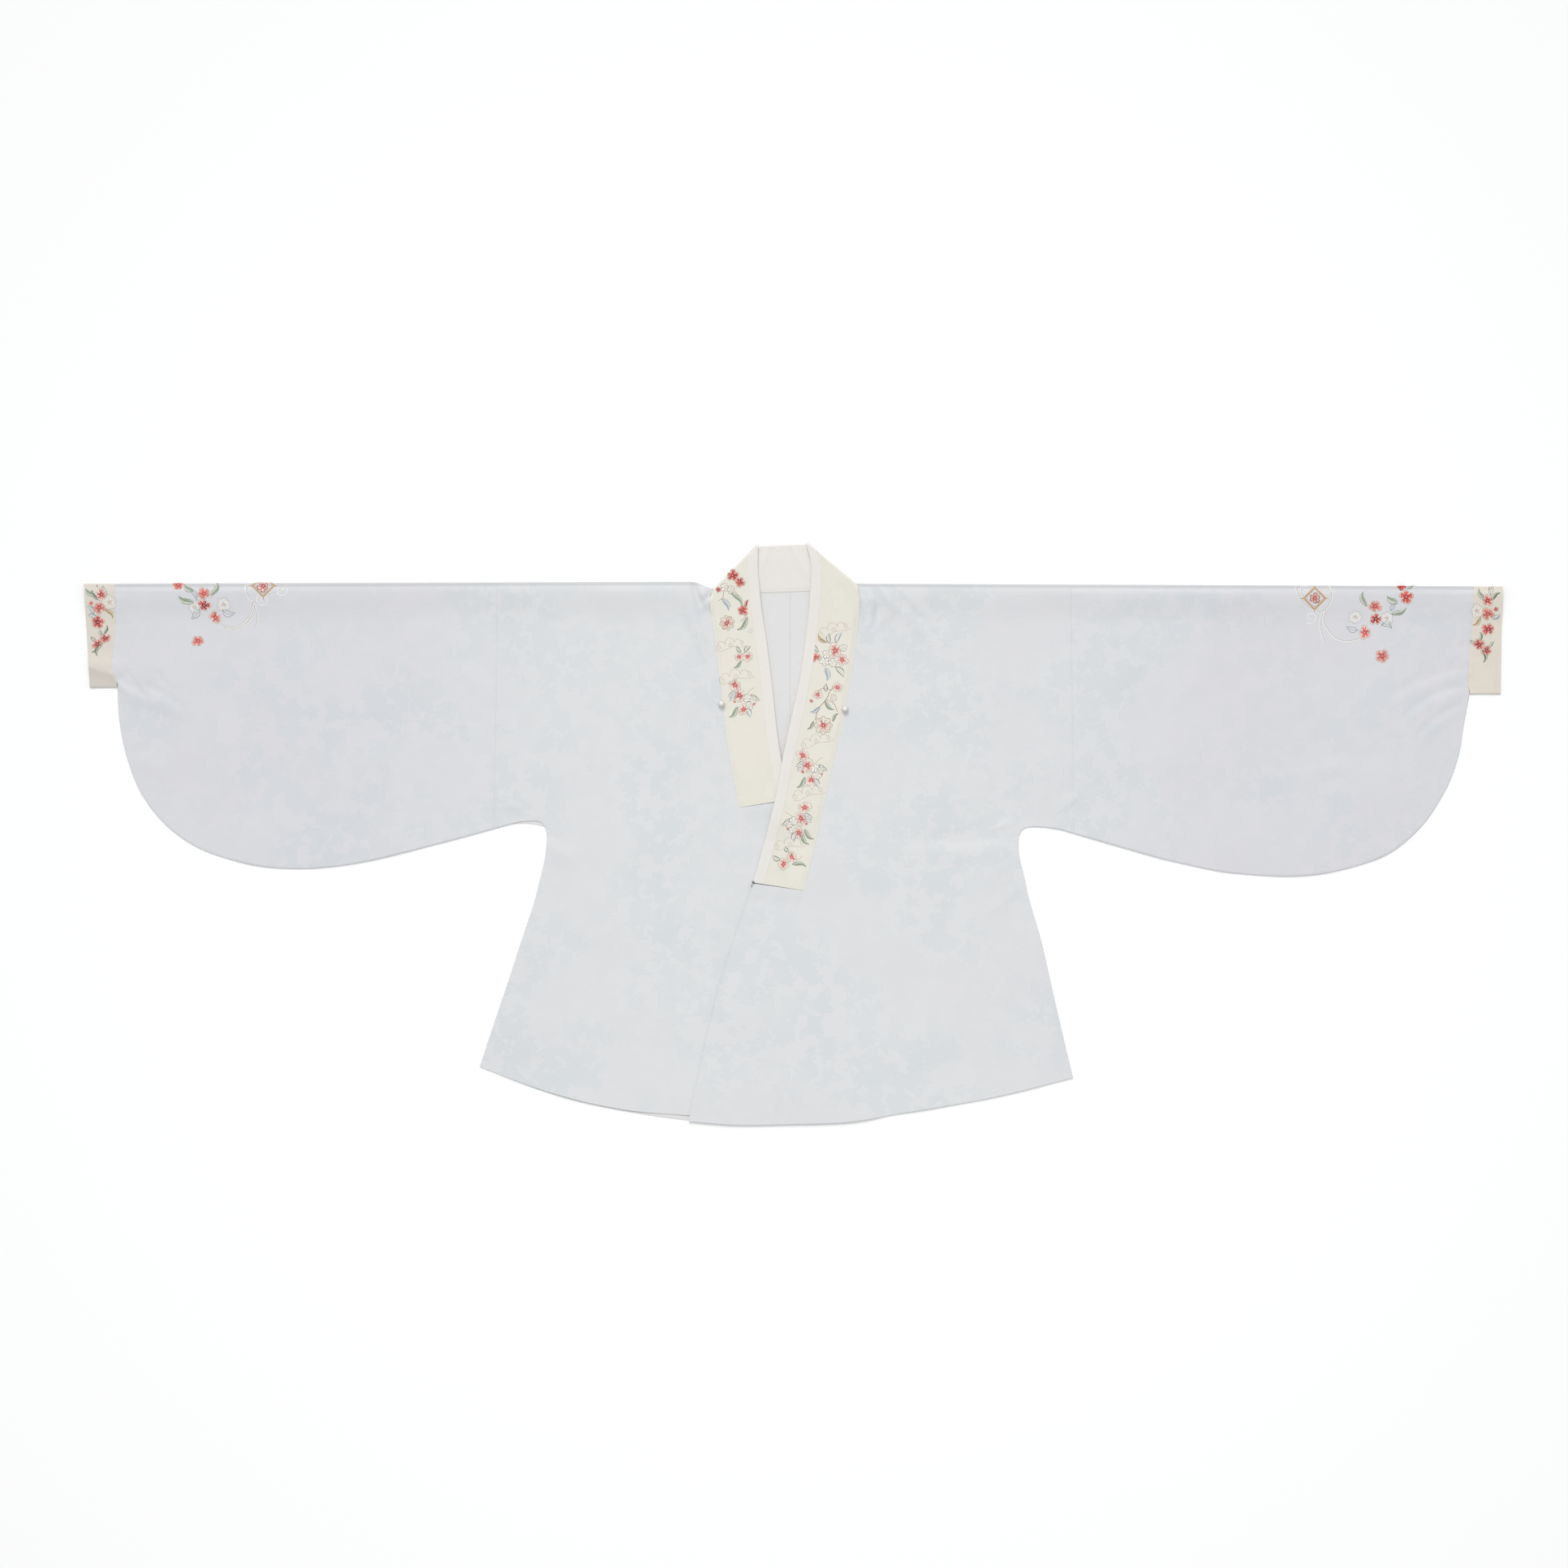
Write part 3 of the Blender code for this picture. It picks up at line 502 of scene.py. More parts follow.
def math_node(tree, operation, *values):
    """A math node whose inputs are other nodes' outputs or plain numbers; returns its output."""
    node = tree.nodes.new("ShaderNodeMath")
    node.operation = operation
    for socket, value in zip(node.inputs, values):
        feed(tree, socket, value)
    return node.outputs[0]


def vector_node(tree, operation, *values):
    """A vector math node; returns the output that the operation fills."""
    node = tree.nodes.new("ShaderNodeVectorMath")
    node.operation = operation
    for socket, value in zip([s for s in node.inputs if s.enabled], values):
        feed(tree, socket, value)
    return next(s for s in node.outputs if s.enabled)


def axes(tree, vector):
    """The three parts of a vector."""
    node = tree.nodes.new("ShaderNodeSeparateXYZ")
    tree.links.new(vector, node.inputs[0])
    return tuple(node.outputs)


def noise_node(tree, vector, scale, detail=2.0, roughness=0.5):
    """A noise texture on a vector; scale is in waves a metre. Returns its value."""
    node = tree.nodes.new("ShaderNodeTexNoise")
    node.inputs["Scale"].default_value = scale
    node.inputs["Detail"].default_value = detail
    node.inputs["Roughness"].default_value = roughness
    tree.links.new(vector, node.inputs["Vector"])
    return node.outputs["Fac"]


def ramp_node(tree, value, low, high, to_low=0.0, to_high=1.0):
    """A soft step from to_low to to_high as the value goes from low to high."""
    node = tree.nodes.new("ShaderNodeMapRange")
    node.interpolation_type = "SMOOTHSTEP"
    tree.links.new(value, node.inputs["Value"])
    for name, number in zip(("From Min", "From Max", "To Min", "To Max"), (low, high, to_low, to_high)):
        node.inputs[name].default_value = number
    return node.outputs["Result"]


def mix_colour(tree, share, first, second):
    """Two colours mixed by a share; each is an output or three numbers."""
    node = tree.nodes.new("ShaderNodeMix")
    node.data_type = "RGBA"
    tree.links.new(share, node.inputs["Factor"])
    for socket, value in zip((node.inputs[6], node.inputs[7]), (first, second)):
        feed(tree, socket, value if isinstance(value, bpy.types.NodeSocket) else (*value, 1.0))
    return node.outputs[2]


def linear(*levels):
    """A colour given as 0 to 255 levels, made linear for a shader."""
    share = np.array(levels, float) / 255
    curve = np.where(share <= 0.04045, share / 12.92, ((share + 0.055) / 1.055) ** 2.4)
    return tuple(float(x) for x in curve)


def weave_group():
    """Plain weave: threads of both ways pass over each other in turn, as the sine across the one on top."""
    sockets = [("Vector", "Vector"), ("Threads", "Float")]
    group, given, made = new_group("weave", sockets, [("Height", "Float")])
    scaled = vector_node(group, "SCALE", given.outputs["Vector"])
    group.links.new(given.outputs["Threads"], scaled.node.inputs["Scale"])
    across, up, _ = axes(group, scaled)
    warp = math_node(group, "SINE", math_node(group, "MULTIPLY", across, math.pi))
    weft = math_node(group, "SINE", math_node(group, "MULTIPLY", up, math.pi))
    on_top = math_node(group, "GREATER_THAN", math_node(group, "MULTIPLY", warp, weft), 0.0)
    warp_over = math_node(group, "MULTIPLY", math_node(group, "ABSOLUTE", warp), on_top)
    other = math_node(group, "SUBTRACT", 1.0, on_top)
    weft_over = math_node(group, "MULTIPLY", math_node(group, "ABSOLUTE", weft), other)
    group.links.new(math_node(group, "ADD", warp_over, weft_over), made.inputs["Height"])
    return group


# Woven leaves: how their rims wander, in waves a metre and shares of a cell, and the rim's radius and lobes
WANDER_WAVES = 70.0
WANDER_REACH = 0.75
LEAF_RADIUS = 0.34
LOBE_DEPTH = 0.13


def jacquard_group():
    """Woven figures: each cell of a Voronoi field holds a leaf, a circle with lobes, and its veins."""
    sockets = [("Vector", "Vector"), ("Size", "Float"), ("Lobes", "Float")]
    group, given, made = new_group("jacquard", sockets, [("Figure", "Float")])
    size = given.outputs["Size"]
    wander = group.nodes.new("ShaderNodeTexNoise")
    wander.inputs["Scale"].default_value = WANDER_WAVES
    wander.inputs["Detail"].default_value = 4.0
    group.links.new(given.outputs["Vector"], wander.inputs["Vector"])
    centred = vector_node(group, "SUBTRACT", wander.outputs["Color"], (0.5, 0.5, 0.5))
    ragged = vector_node(group, "SCALE", centred)
    group.links.new(math_node(group, "MULTIPLY", size, WANDER_REACH), ragged.node.inputs["Scale"])
    place = vector_node(group, "ADD", given.outputs["Vector"], ragged)
    cells = group.nodes.new("ShaderNodeTexVoronoi")
    cells.voronoi_dimensions = "2D"
    cells.inputs["Randomness"].default_value = 1.0
    group.links.new(place, cells.inputs["Vector"])
    group.links.new(math_node(group, "DIVIDE", 1.0, size), cells.inputs["Scale"])
    across, up, _ = axes(group, vector_node(group, "SUBTRACT", place, cells.outputs["Position"]))
    squares = math_node(group, "MULTIPLY_ADD", across, across, math_node(group, "MULTIPLY", up, up))
    reach = math_node(group, "DIVIDE", math_node(group, "SQRT", squares), size)
    tint = group.nodes.new("ShaderNodeSeparateColor")
    group.links.new(cells.outputs["Color"], tint.inputs[0])
    turn = math_node(group, "MULTIPLY", tint.outputs[0], 2 * math.pi)
    angle = math_node(group, "ADD", math_node(group, "ARCTAN2", up, across), turn)
    lobe = math_node(group, "COSINE", math_node(group, "MULTIPLY", angle, given.outputs["Lobes"]))
    rim = math_node(group, "MULTIPLY_ADD", lobe, LOBE_DEPTH, LEAF_RADIUS)
    rim = math_node(group, "MULTIPLY", rim, math_node(group, "MULTIPLY_ADD", tint.outputs[1], 0.5, 0.75))
    inside = ramp_node(group, math_node(group, "SUBTRACT", reach, rim), -0.05, 0.05, 1.0, 0.0)
    vein = ramp_node(group, lobe, 0.95, 1.0, 0.0, 0.6)
    beyond_heart = ramp_node(group, reach, 0.03, 0.08)
    figure = math_node(group, "SUBTRACT", inside, math_node(group, "MULTIPLY", vein, beyond_heart))
    group.links.new(math_node(group, "MAXIMUM", figure, 0.0), made.inputs["Figure"])
    return group


weave = weave_group()
jacquard = jacquard_group()


def place_group(tree, group, **values):
    """Puts a node group in a material, each socket set to an output or a number."""
    node = tree.nodes.new("ShaderNodeGroup")
    node.node_tree = group
    for name, value in values.items():
        feed(tree, node.inputs[name], value)
    return node.outputs[0]


def new_material(name, plain):
    """A material with its node tree and its shader, whose plain inputs are set from a table."""
    material = bpy.data.materials.new(name)
    material.use_nodes = True
    shader = material.node_tree.nodes["Principled BSDF"]
    for socket, level in plain.items():
        shader.inputs[socket].default_value = level
    return material, material.node_tree, shader


def flat_places(tree, uv_name):
    """Places on the flat cloth or along a thread, from a UV map in metres."""
    uv = tree.nodes.new("ShaderNodeUVMap")
    uv.uv_map = uv_name
    return uv.outputs["UV"]


def add_bump(tree, shader, height, distance, strength=1.0):
    """Turns a height into the shader's normal."""
    bump = tree.nodes.new("ShaderNodeBump")
    bump.inputs["Strength"].default_value = strength
    bump.inputs["Distance"].default_value = distance * MM
    tree.links.new(height, bump.inputs["Height"])
    tree.links.new(bump.outputs["Normal"], shader.inputs["Normal"])


# Patches in the weave and dye: a noise's waves a metre, detail and roughness, and the soft step over it
CLUMPS = (7.0, 2.0), (0.42, 0.56, 0.4, 1.0)
BLOTCHES = (15.0, 5.0, 0.62), (0.6, 0.63, 0.0, 0.85)
FADING = (6.0, 3.0), (0.4, 0.6, 0.6, 1.0)
DRIFT = (5.0, 3.0), (0.42, 0.75, 0.0, 0.55)
SLUBS = (90.0, 2.0), (0.3, 0.8, 0.0, 0.12)
SLUB_STRETCH = (1.0, 14.0, 1.0)
CRUMPLE = (60.0, 3.0, 0.55)
SECOND_FIGURES = (0.37, 0.81, 0.0)
SECOND_SIZE = 0.72
THREADS_A_METRE = 1700.0

# The sleeves' tint by distance from the centre, the thin line of painted shade along the top fold and the
# edge of a part of painted shade, as levels of the flat cloth in metres
TINT_OUT = (0.2, 0.62)
FOLD_SHADE_SLOPE = 0.0038
FOLD_SHADE_STEP = 0.0024
FOLD_SHADE_BELOW = (-0.0045, -0.0012, 0.0, 0.42)
FOLD_SHADE_ABOVE = (0.0006, 0.0032, 1.0, 0.0)
FOLD_SHADE_LIGHT = 0.6
SHADE_EDGE = (-0.0045, 0.0015)


def patches(tree, vector, waves, step):
    """Soft-edged patches: a step over a noise."""
    return ramp_node(tree, noise_node(tree, vector, *waves), *step)


def darker(colour, light_left):
    """A colour with a share of its light."""
    return tuple(light_left * x for x in colour)


def cloth_material(name, ground, figure, blush, roughness, figure_size, figure_gain, far=None, shaded=None):
    """Woven silk: ground and figure colours, a slow drift towards blush, slubs, and a plain-weave surface.

    A far colour tints the ground towards the sleeve ends and adds a thin line of painted shade along the
    top fold. A shaded part, painted shade, lies below a slanting line, which is given by a place on it, its
    slope, and the share of light that is left.
    """
    plain = {"Sheen Weight": 0.25, "Sheen Roughness": 0.45, "Specular IOR Level": 0.3}
    material, tree, shader = new_material(name, plain)
    flat = flat_places(tree, "cloth")
    shifted = vector_node(tree, "ADD", flat, SECOND_FIGURES)
    leaves = place_group(tree, jacquard, Vector=flat, Size=figure_size, Lobes=3.0)
    flowers = place_group(tree, jacquard, Vector=shifted, Size=figure_size * SECOND_SIZE, Lobes=5.0)
    figures = math_node(tree, "MAXIMUM", leaves, flowers)
    figures = math_node(tree, "MULTIPLY", figures, patches(tree, flat, *CLUMPS))
    figures = math_node(tree, "MAXIMUM", figures, patches(tree, shifted, *BLOTCHES))
    figures = math_node(tree, "MULTIPLY", figures, patches(tree, shifted, *FADING))
    colour = mix_colour(tree, math_node(tree, "MULTIPLY", figures, figure_gain), ground, figure)
    colour = mix_colour(tree, patches(tree, flat, *DRIFT), colour, blush)
    out, up, _ = axes(tree, flat)
    if far:
        distance = math_node(tree, "ABSOLUTE", out)
        tint = tree.nodes.new("ShaderNodeMix")
        tint.data_type = "RGBA"
        tint.blend_type = "MULTIPLY"
        tree.links.new(ramp_node(tree, distance, *TINT_OUT), tint.inputs["Factor"])
        tree.links.new(colour, tint.inputs[6])
        tint.inputs[7].default_value = (*far, 1.0)
        # A thin line of painted shade just below the top fold, where the turning cloth falls away from the
        # light
        left = math_node(tree, "GREATER_THAN", out, 0.0)
        level = math_node(tree, "MULTIPLY_ADD", left, FOLD_SHADE_STEP, up)
        level = math_node(tree, "MULTIPLY_ADD", distance, FOLD_SHADE_SLOPE, level)
        above, below = ramp_node(tree, level, *FOLD_SHADE_ABOVE), ramp_node(tree, level, *FOLD_SHADE_BELOW)
        fold_shade = math_node(tree, "MULTIPLY", below, above)
        colour = mix_colour(tree, fold_shade, tint.outputs[2], darker(ground, FOLD_SHADE_LIGHT))
    # Painted shade below a slanting line
    if shaded:
        at_out, at_up, slope, light_left = shaded
        level = math_node(tree, "MULTIPLY_ADD", out, slope, up)
        edge = [at_up + slope * at_out + away for away in SHADE_EDGE]
        colour = mix_colour(tree, ramp_node(tree, level, *edge, 1.0, 0.0), colour, darker(ground, light_left))
    stretched = vector_node(tree, "MULTIPLY", flat, SLUB_STRETCH)
    colour = mix_colour(tree, patches(tree, stretched, *SLUBS), colour, darker(ground, 0.9))
    tree.links.new(colour, shader.inputs["Base Color"])
    tree.links.new(math_node(tree, "MULTIPLY_ADD", figures, -0.12, roughness), shader.inputs["Roughness"])
    threads = place_group(tree, weave, Vector=flat, Threads=THREADS_A_METRE)
    rise = math_node(tree, "MULTIPLY", threads, 0.06)
    rise = math_node(tree, "MULTIPLY_ADD", noise_node(tree, flat, *CRUMPLE), 0.9, rise)
    rise = math_node(tree, "MULTIPLY_ADD", figures, 0.1, rise)
    add_bump(tree, shader, rise, 0.35)
    return material


SLEEVE_TINT = (0.956, 0.946, 0.968)
pale_silk = cloth_material(
    "pale_silk", linear(220.5, 221.5, 223), linear(213, 217.5, 219.5), linear(220.5, 219, 221.5),
    0.62, 0.037, 1.0, SLEEVE_TINT,
)
pale_silk_reverse = cloth_material(
    "pale_silk_reverse", linear(223, 222, 222), linear(226, 224, 223), linear(223, 221, 222),
    0.7, 0.036, 0.4,
)

FOLD_STEPS = 8
EDGE_STEPS = 6
NECKLINE_DIP = (0.25, 1.3)
SEAM_COLUMNS = np.array([0, 0.7, 1.5, 2.6, 4.2])
OVERLAP_COLUMNS = 30
UP = (0.0, 0.0, 1.0)
DOWN = (0.0, 0.0, -1.0)
BACKWARD = (0.0, 1.0, 0.0)


def leg_edges(side, level):
    """Seam edge and free edge of a collar leg at each level."""
    edges = through(LEG[side], level)
    return edges[..., :2], edges[..., 2:]


def neckline(side, level):
    """Edge of the front along the collar's seam edge, from the neck point to just below the collar end."""
    neck_out = NECK_POINT[side][0]
    table = [(row[0], row[1] + SIGN[side] * PANEL_INSET, row[2]) for row in LEG[side]]
    corner = (NECK_CORNER_LEVEL, LEG[side][0][1] + SIGN[side] * NECK_CORNER_OUT, LEG[side][0][2])
    table[:1] = [(0.0, *on_fold(side, neck_out)), corner]
    last_level, last_x, last_y = table[-1]
    table[-1] = (last_level, last_x, last_y - 2 * PANEL_INSET)
    return through(table, level)


def side_edge(side, level):
    """Straight armhole, then the underarm curve and side seam."""
    table = SIDE_CURVE[side]
    armhole_level = table[0][0]
    lower_end = np.array([SIGN[side] * table[0][1], -table[0][2]])
    armhole = between(on_fold(side, SLEEVE_SEAM[side][0]), lower_end, np.clip(level / armhole_level, 0, 1))
    below = through(table, level) * np.array([SIGN[side], -1.0])
    return np.where((level <= armhole_level)[:, None], armhole, below)


def hem_points(name, x):
    """Plan points of a hem at each x."""
    return np.stack([x, -through(HEM[name], x)[..., 0]], axis=-1)


def back_neck_y(x):
    """Seam edge of the collar behind the neck, a shallow curve between the two mitres."""
    (x0, y0), (x1, y1) = LEG["right"][0][1:3], LEG["left"][0][1:3]
    share = np.clip((x - x0) / (x1 - x0), 0, 1)
    return y0 + (y1 - y0) * share - NECK_SAG * 4 * share * (1 - share)


def add_panel(sheet, side, plan, layer):
    """Adds a panel of plan points, laid as front or back."""
    facing = UP if layer == "front" else DOWN
    points = lie(side, plan, layer)
    sheet.add(points, unrolled(side, plan, layer), facing)
    return points


def body_half(side):
    """Front and back in one: the front panel and its overlap, the shoulder fold, the back, the side turn."""
    sign = SIGN[side]
    armhole_level = SIDE_CURVE[side][0][0]
    level = np.concatenate([
        steps(0, armhole_level, 48, 0.4)[:-1],
        steps(armhole_level, 1, 26, 0.2)[:-1],
        steps(1, 2, 64, 0.2),
    ])
    width = SLEEVE_SEAM[side][0] - NECK_POINT[side][0]
    columns = np.concatenate([SEAM_COLUMNS / width, steps(6.5 / width, 1, 84, 0.5)])
    sheet = Sheet()

    fold_row = on_fold(side, SLEEVE_SEAM[side][0] * (1 - columns) + NECK_POINT[side][0] * columns)
    edge = side_edge(side, level)
    guide_end = hem_points(side, np.array([GUIDE_AT_HEM[side]]))[0]
    guide = between(neckline(side, np.array(1.0)), guide_end, np.clip(level - 1, 0, 1))
    inner = np.where((level <= 1)[:, None], neckline(side, level), guide)
    hem = hem_points(side, edge[-1, 0] * (1 - columns) + guide_end[0] * columns)
    plan = patch(edge, inner, fold_row, hem, columns, level / 2, LEAN)
    front = lie(side, plan, "front")
    dip, dip_reach = NECKLINE_DIP
    from_neckline = np.linalg.norm(plan - inner[:, None], axis=-1)
    along_neckline = smooth((1 - level) / 0.05) * smooth(level / 0.02)
    front[..., 2] -= dip * np.exp(-((from_neckline / dip_reach) ** 2)) * along_neckline[:, None]
    sheet.add(front, plan, UP)

    lower = level[level >= 1]
    free = through(FRONT_EDGE[side], lower) * np.array([1.0, -1.0])
    across = steps(0, 1, OVERLAP_COLUMNS, 0.3)
    top = between(guide[0], free[0], across)
    hem = hem_points(side, guide_end[0] * (1 - across) + free[-1, 0] * across)
    add_panel(sheet, side, patch(guide[level >= 1], free, top, hem, across, lower - 1), "front")

    back_level = np.concatenate([steps(0, armhole_level, 26, 0.4)[:-1], level[level >= armhole_level]])
    edge = side_edge(side, back_level)
    guide_end = hem_points("back", np.array([sign * BACK_GUIDE_AT_HEM]))[0]
    guide = between(fold_row[-1], guide_end, back_level / 2)
    hem = hem_points("back", edge[-1, 0] * (1 - columns) + guide_end[0] * columns)
    back = add_panel(sheet, side, patch(edge, guide, fold_row, hem, columns, back_level / 2, LEAN), "back")

    centre_x = sign * CENTRE_GAP / 2
    neck_x = np.linspace(LEG[side][0][1], centre_x, 20)
    neck = np.stack([neck_x, back_neck_y(neck_x) - PANEL_INSET], axis=-1)
    neck = np.concatenate([fold_row[-1:], neck])
    across = (neck[:, 0] - neck[0, 0]) / (neck[-1, 0] - neck[0, 0])
    hem = hem_points("back", guide_end[0] * (1 - across) + centre_x * across)
    centre = between(neck[-1], hem[-1], back_level / 2)
    add_panel(sheet, side, patch(guide, centre, neck, hem, across, back_level / 2), "back")

    sheet.add(*turned(front[0], back[0], np.array(BACKWARD), FOLD_STEPS), BACKWARD)
    closed_front, closed_back = front[level >= armhole_level, 0], back[back_level >= armhole_level, 0]
    outward = away_from_cloth(side, closed_front)
    sheet.add(*turned(closed_front, closed_back, outward, EDGE_STEPS), outward)
    name = "body_" + side
    piece = sheet.sew(name + "_cloth", name, pale_silk, "pale_cloth", reverse=pale_silk_reverse)
    return piece


body_pieces = {side: body_half(side) for side in ("right", "left")}

# Sleeves
# Each sleeve is one piece of the same silk, folded along the top of the arm and closed by a seam along
# its full rounded lower edge. It is sewn to the body at a straight armhole.

# Sections from the cuff to the body: out at the top fold, then out and down at the lower edge
SLEEVE_SECTIONS = {
    "right": [
        (856.5, 852.5, 132), (832.0, 850.0, 175), (803.0, 840.0, 222), (768.0, 820.0, 270),
        (722.0, 783.0, 314), (668.0, 730.0, 344), (600.0, 650.0, 361), (530.0, 570.0, 358),
        (455.0, 485.0, 340), (371.0, 375.0, 311),
    ],
    "left": [
        (867.0, 861.0, 140), (840.0, 854.0, 178), (812.0, 847.0, 220), (778.0, 830.0, 264),
        (733.0, 797.0, 312), (682.0, 748.0, 348), (615.0, 672.0, 368.5), (540.0, 590.0, 370),
        (455.0, 500.0, 356), (356.5, 360.0, 317),
    ],
}
SLEEVE_COLUMNS = 118
SLEEVE_ROWS = 92


def tube(side, top, bottom, rows, corner_gap=0.0):
    """A flattened tube: front and back between a top fold and a turned lower edge, open at both ends.

    A corner gap for each column moves it out over the last share of its way down.
    """
    sheet = Sheet()
    shares = steps(0, 1, rows, 0.4)[:, None, None]
    plan = top[None] * (1 - shares) + bottom[None] * shares
    swell = cuff_swell(side, np.abs(plan[..., 0]), plan[..., 1])
    plan[..., 0] += SIGN[side] * (swell + corner_gap * smooth((shares[..., 0] - 0.94) / 0.06))
    front = add_panel(sheet, side, plan, "front")
    back = add_panel(sheet, side, plan, "back")
    sheet.add(*turned(front[0], back[0], np.array(BACKWARD), FOLD_STEPS), BACKWARD)
    outward = away_from_cloth(side, front[-1])
    outward[0] = outward[0] / 2 + np.array([0.0, -0.5, 0.0])
    sheet.add(*turned(front[-1], back[-1], outward, EDGE_STEPS), outward)
    return sheet


def sleeve(side):
    """Columns of cloth between the cuff and the armhole, fanned along the rounded lower edge."""
    table = [(number, *row) for number, row in enumerate(SLEEVE_SECTIONS[side])]
    last = len(table) - 1
    seam_steps = np.array([0.0, 0.02, 0.045, 0.08])
    inner = steps(0.12, last - 0.08, SLEEVE_COLUMNS, 0.25)
    number = np.concatenate([seam_steps, inner, last - seam_steps[::-1] * 0.5])
    top_out, edge_out, edge_down = through(table, number).T
    top_out[-1] += SEAM_GAP
    edge_out[-1] += SEAM_GAP
    bottom = np.column_stack([SIGN[side] * edge_out, -edge_down])
    sheet = tube(side, on_fold(side, top_out), bottom, SLEEVE_ROWS)
    name = "sleeve_" + side
    piece = sheet.sew(name + "_cloth", name, pale_silk, "pale_cloth", reverse=pale_silk_reverse)
    length = top_out[0] - top_out[-1]
    round_the_arm = 2 * edge_down.max()
    return piece, (length * MM, round_the_arm * MM), sheet.area * MM * MM


sleeve_pieces = {side: sleeve(side) for side in ("right", "left")}

# Cuffs
# A short straight tube of warm ivory silk closes each sleeve. It is seamed to the sleeve end and folded
# along the top like it.
CUFF_COLUMNS = 22
CUFF_ROWS = 64
CORNER_GAP = 1.2

# The right cuff's ground is a little darker than the left's, as painted shade, and below a slanting line its
# lower part is darker still: a band of painted shade where the cuff turns down away from the light
ivory_silk = {
    "right": cloth_material(
        "ivory_silk_right_shaded", linear(219, 212.5, 203), linear(213, 206, 195), linear(221, 212, 204),
        0.6, 0.03, 0.6, shaded=(-0.877, -0.1097, 0.37, 0.87),
    ),
    "left": cloth_material(
        "ivory_silk_left", linear(221, 214.5, 202), linear(216, 209, 195), linear(223, 215, 205),
        0.6, 0.03, 0.6,
    ),
}


def cuff(side):
    """The sleeve's tube carried on from the seam to the free edge."""
    shares = steps(0, 1, CUFF_COLUMNS, 0.6)
    seam_top, seam_bottom = CUFF_SEAM[side]
    edge_top, edge_bottom = CUFF_EDGE[side]
    top_out = edge_top * (1 - shares) + (seam_top + SEAM_GAP) * shares
    bottom_out = edge_bottom * (1 - shares) + (seam_bottom + SEAM_GAP) * shares
    bottom = np.column_stack([SIGN[side] * bottom_out, np.full(len(shares), -CUFF_DEPTH[side])])
    sheet = tube(side, on_fold(side, top_out), bottom, CUFF_ROWS, CORNER_GAP * shares**3)
    name = "cuff_" + side
    piece = sheet.sew(name + "_cloth", name, ivory_silk[side], "cuff_cloth")
    length = max(edge_top - seam_top, edge_bottom - seam_bottom)
    flat = (length * MM, 2 * (CUFF_DEPTH[side] + LAYER) * MM)
    return piece, flat, sheet.area * MM * MM


cuff_pieces = {side: cuff(side) for side in ("right", "left")}

# Collar band
# One straight strip of cream silk goes round the neck: it is folded over in a mitre at each side, passes
# behind the neck with its inside up, and is set into both fronts with its ends cut square.
BAND_WALL = 0.9
BAND_BED = 3.1
GUARD_OFF = 1.15
GUARD_EDGE = LAYER + 0.5
WRAP_SHARE = 0.81
NECK_FALL = 62.0
BACK_TILT_SHARE = 0.76
CROSSING = {"start": -112.0, "rise": 84.0, "end": -292.0, "fall": 56.0, "side_ramp": 56.0}
LEG_STATIONS = {"right": 120, "left": 160}
BACK_NECK_STATIONS = 34
MITRE_STEPS = 9
BAND_COLUMNS = 34
CLEAR_OF_BACK = 1.25


def neck_bed(y):
    """Extra height of the legs where they lie over the part of the collar behind the neck."""
    above = y - LEG["right"][0][2]
    width = LEG["right"][0][4] - LEG["right"][0][2]
    return LAYER * smooth(above / NECK_FALL + 1) + LAYER * np.clip(above / width / BACK_TILT_SHARE, 0, 1)


def crossing_lift(x, y):
    """Extra height of the left leg over the right front, and over the end of the right leg."""
    rise = smooth((CROSSING["start"] - y) / CROSSING["rise"])
    fall = smooth((CROSSING["end"] - y) / CROSSING["fall"])
    table = [(-row[4], row[3]) for row in LEG["right"]]
    free_x = through(table, -y)[..., 0]
    beside = smooth((free_x + CROSSING["side_ramp"] - x) / CROSSING["side_ramp"])
    return np.maximum(LAYER * under_left_front(x, y), 3 * LAYER * rise * (1 - fall) * beside)


def band_waves(x, y):
    """The band isn't quite even: shallow waves across its run."""
    return 0.14 * np.sin(y / 13.0 + 0.6 * np.sin(x / 17.0)) * np.sin(y / 47.0 + 1.0)


def leg_z(side, seam, plan, share):
    """Middle of a leg's band: level with the front at its seam edge, then a layer higher on the guard."""
    bed = BAND_BED + neck_bed(plan[..., 1]) + band_waves(plan[..., 0], plan[..., 1])
    if side == "left":
        bed = bed + crossing_lift(plan[..., 0], plan[..., 1])
    seam_z = front_skin(side, seam) - BAND_WALL / 2
    return seam_z + (bed - seam_z) * smooth(share / SEAM_RISE_SHARE)


def back_neck_z(share, along):
    """Middle of the band behind the neck, tilted up towards its free edge, with a few soft wrinkles."""
    lean = along + 0.06 * share
    wrinkles = 1.0 * np.exp(-(((lean - 0.3) / 0.05) ** 2)) + 1.2 * np.exp(-(((lean - 0.74) / 0.045) ** 2))
    wrinkles = wrinkles + 0.8 * np.exp(-(((along - 0.5) / 0.04) ** 2)) * share
    return 0.5 + LAYER * np.clip(share / BACK_TILT_SHARE, 0, 1) + wrinkles * smooth(share * 2) * 0.9


def slant(seam, free):
    """How much longer than the square distance each section is as it meets the free edge."""
    section = (free - seam) / np.linalg.norm(free - seam, axis=1)[:, None]
    run = np.gradient(free, axis=0)
    run /= np.linalg.norm(run, axis=1)[:, None]
    return 1 / np.abs(section[:, 0] * run[:, 1] - section[:, 1] * run[:, 0])


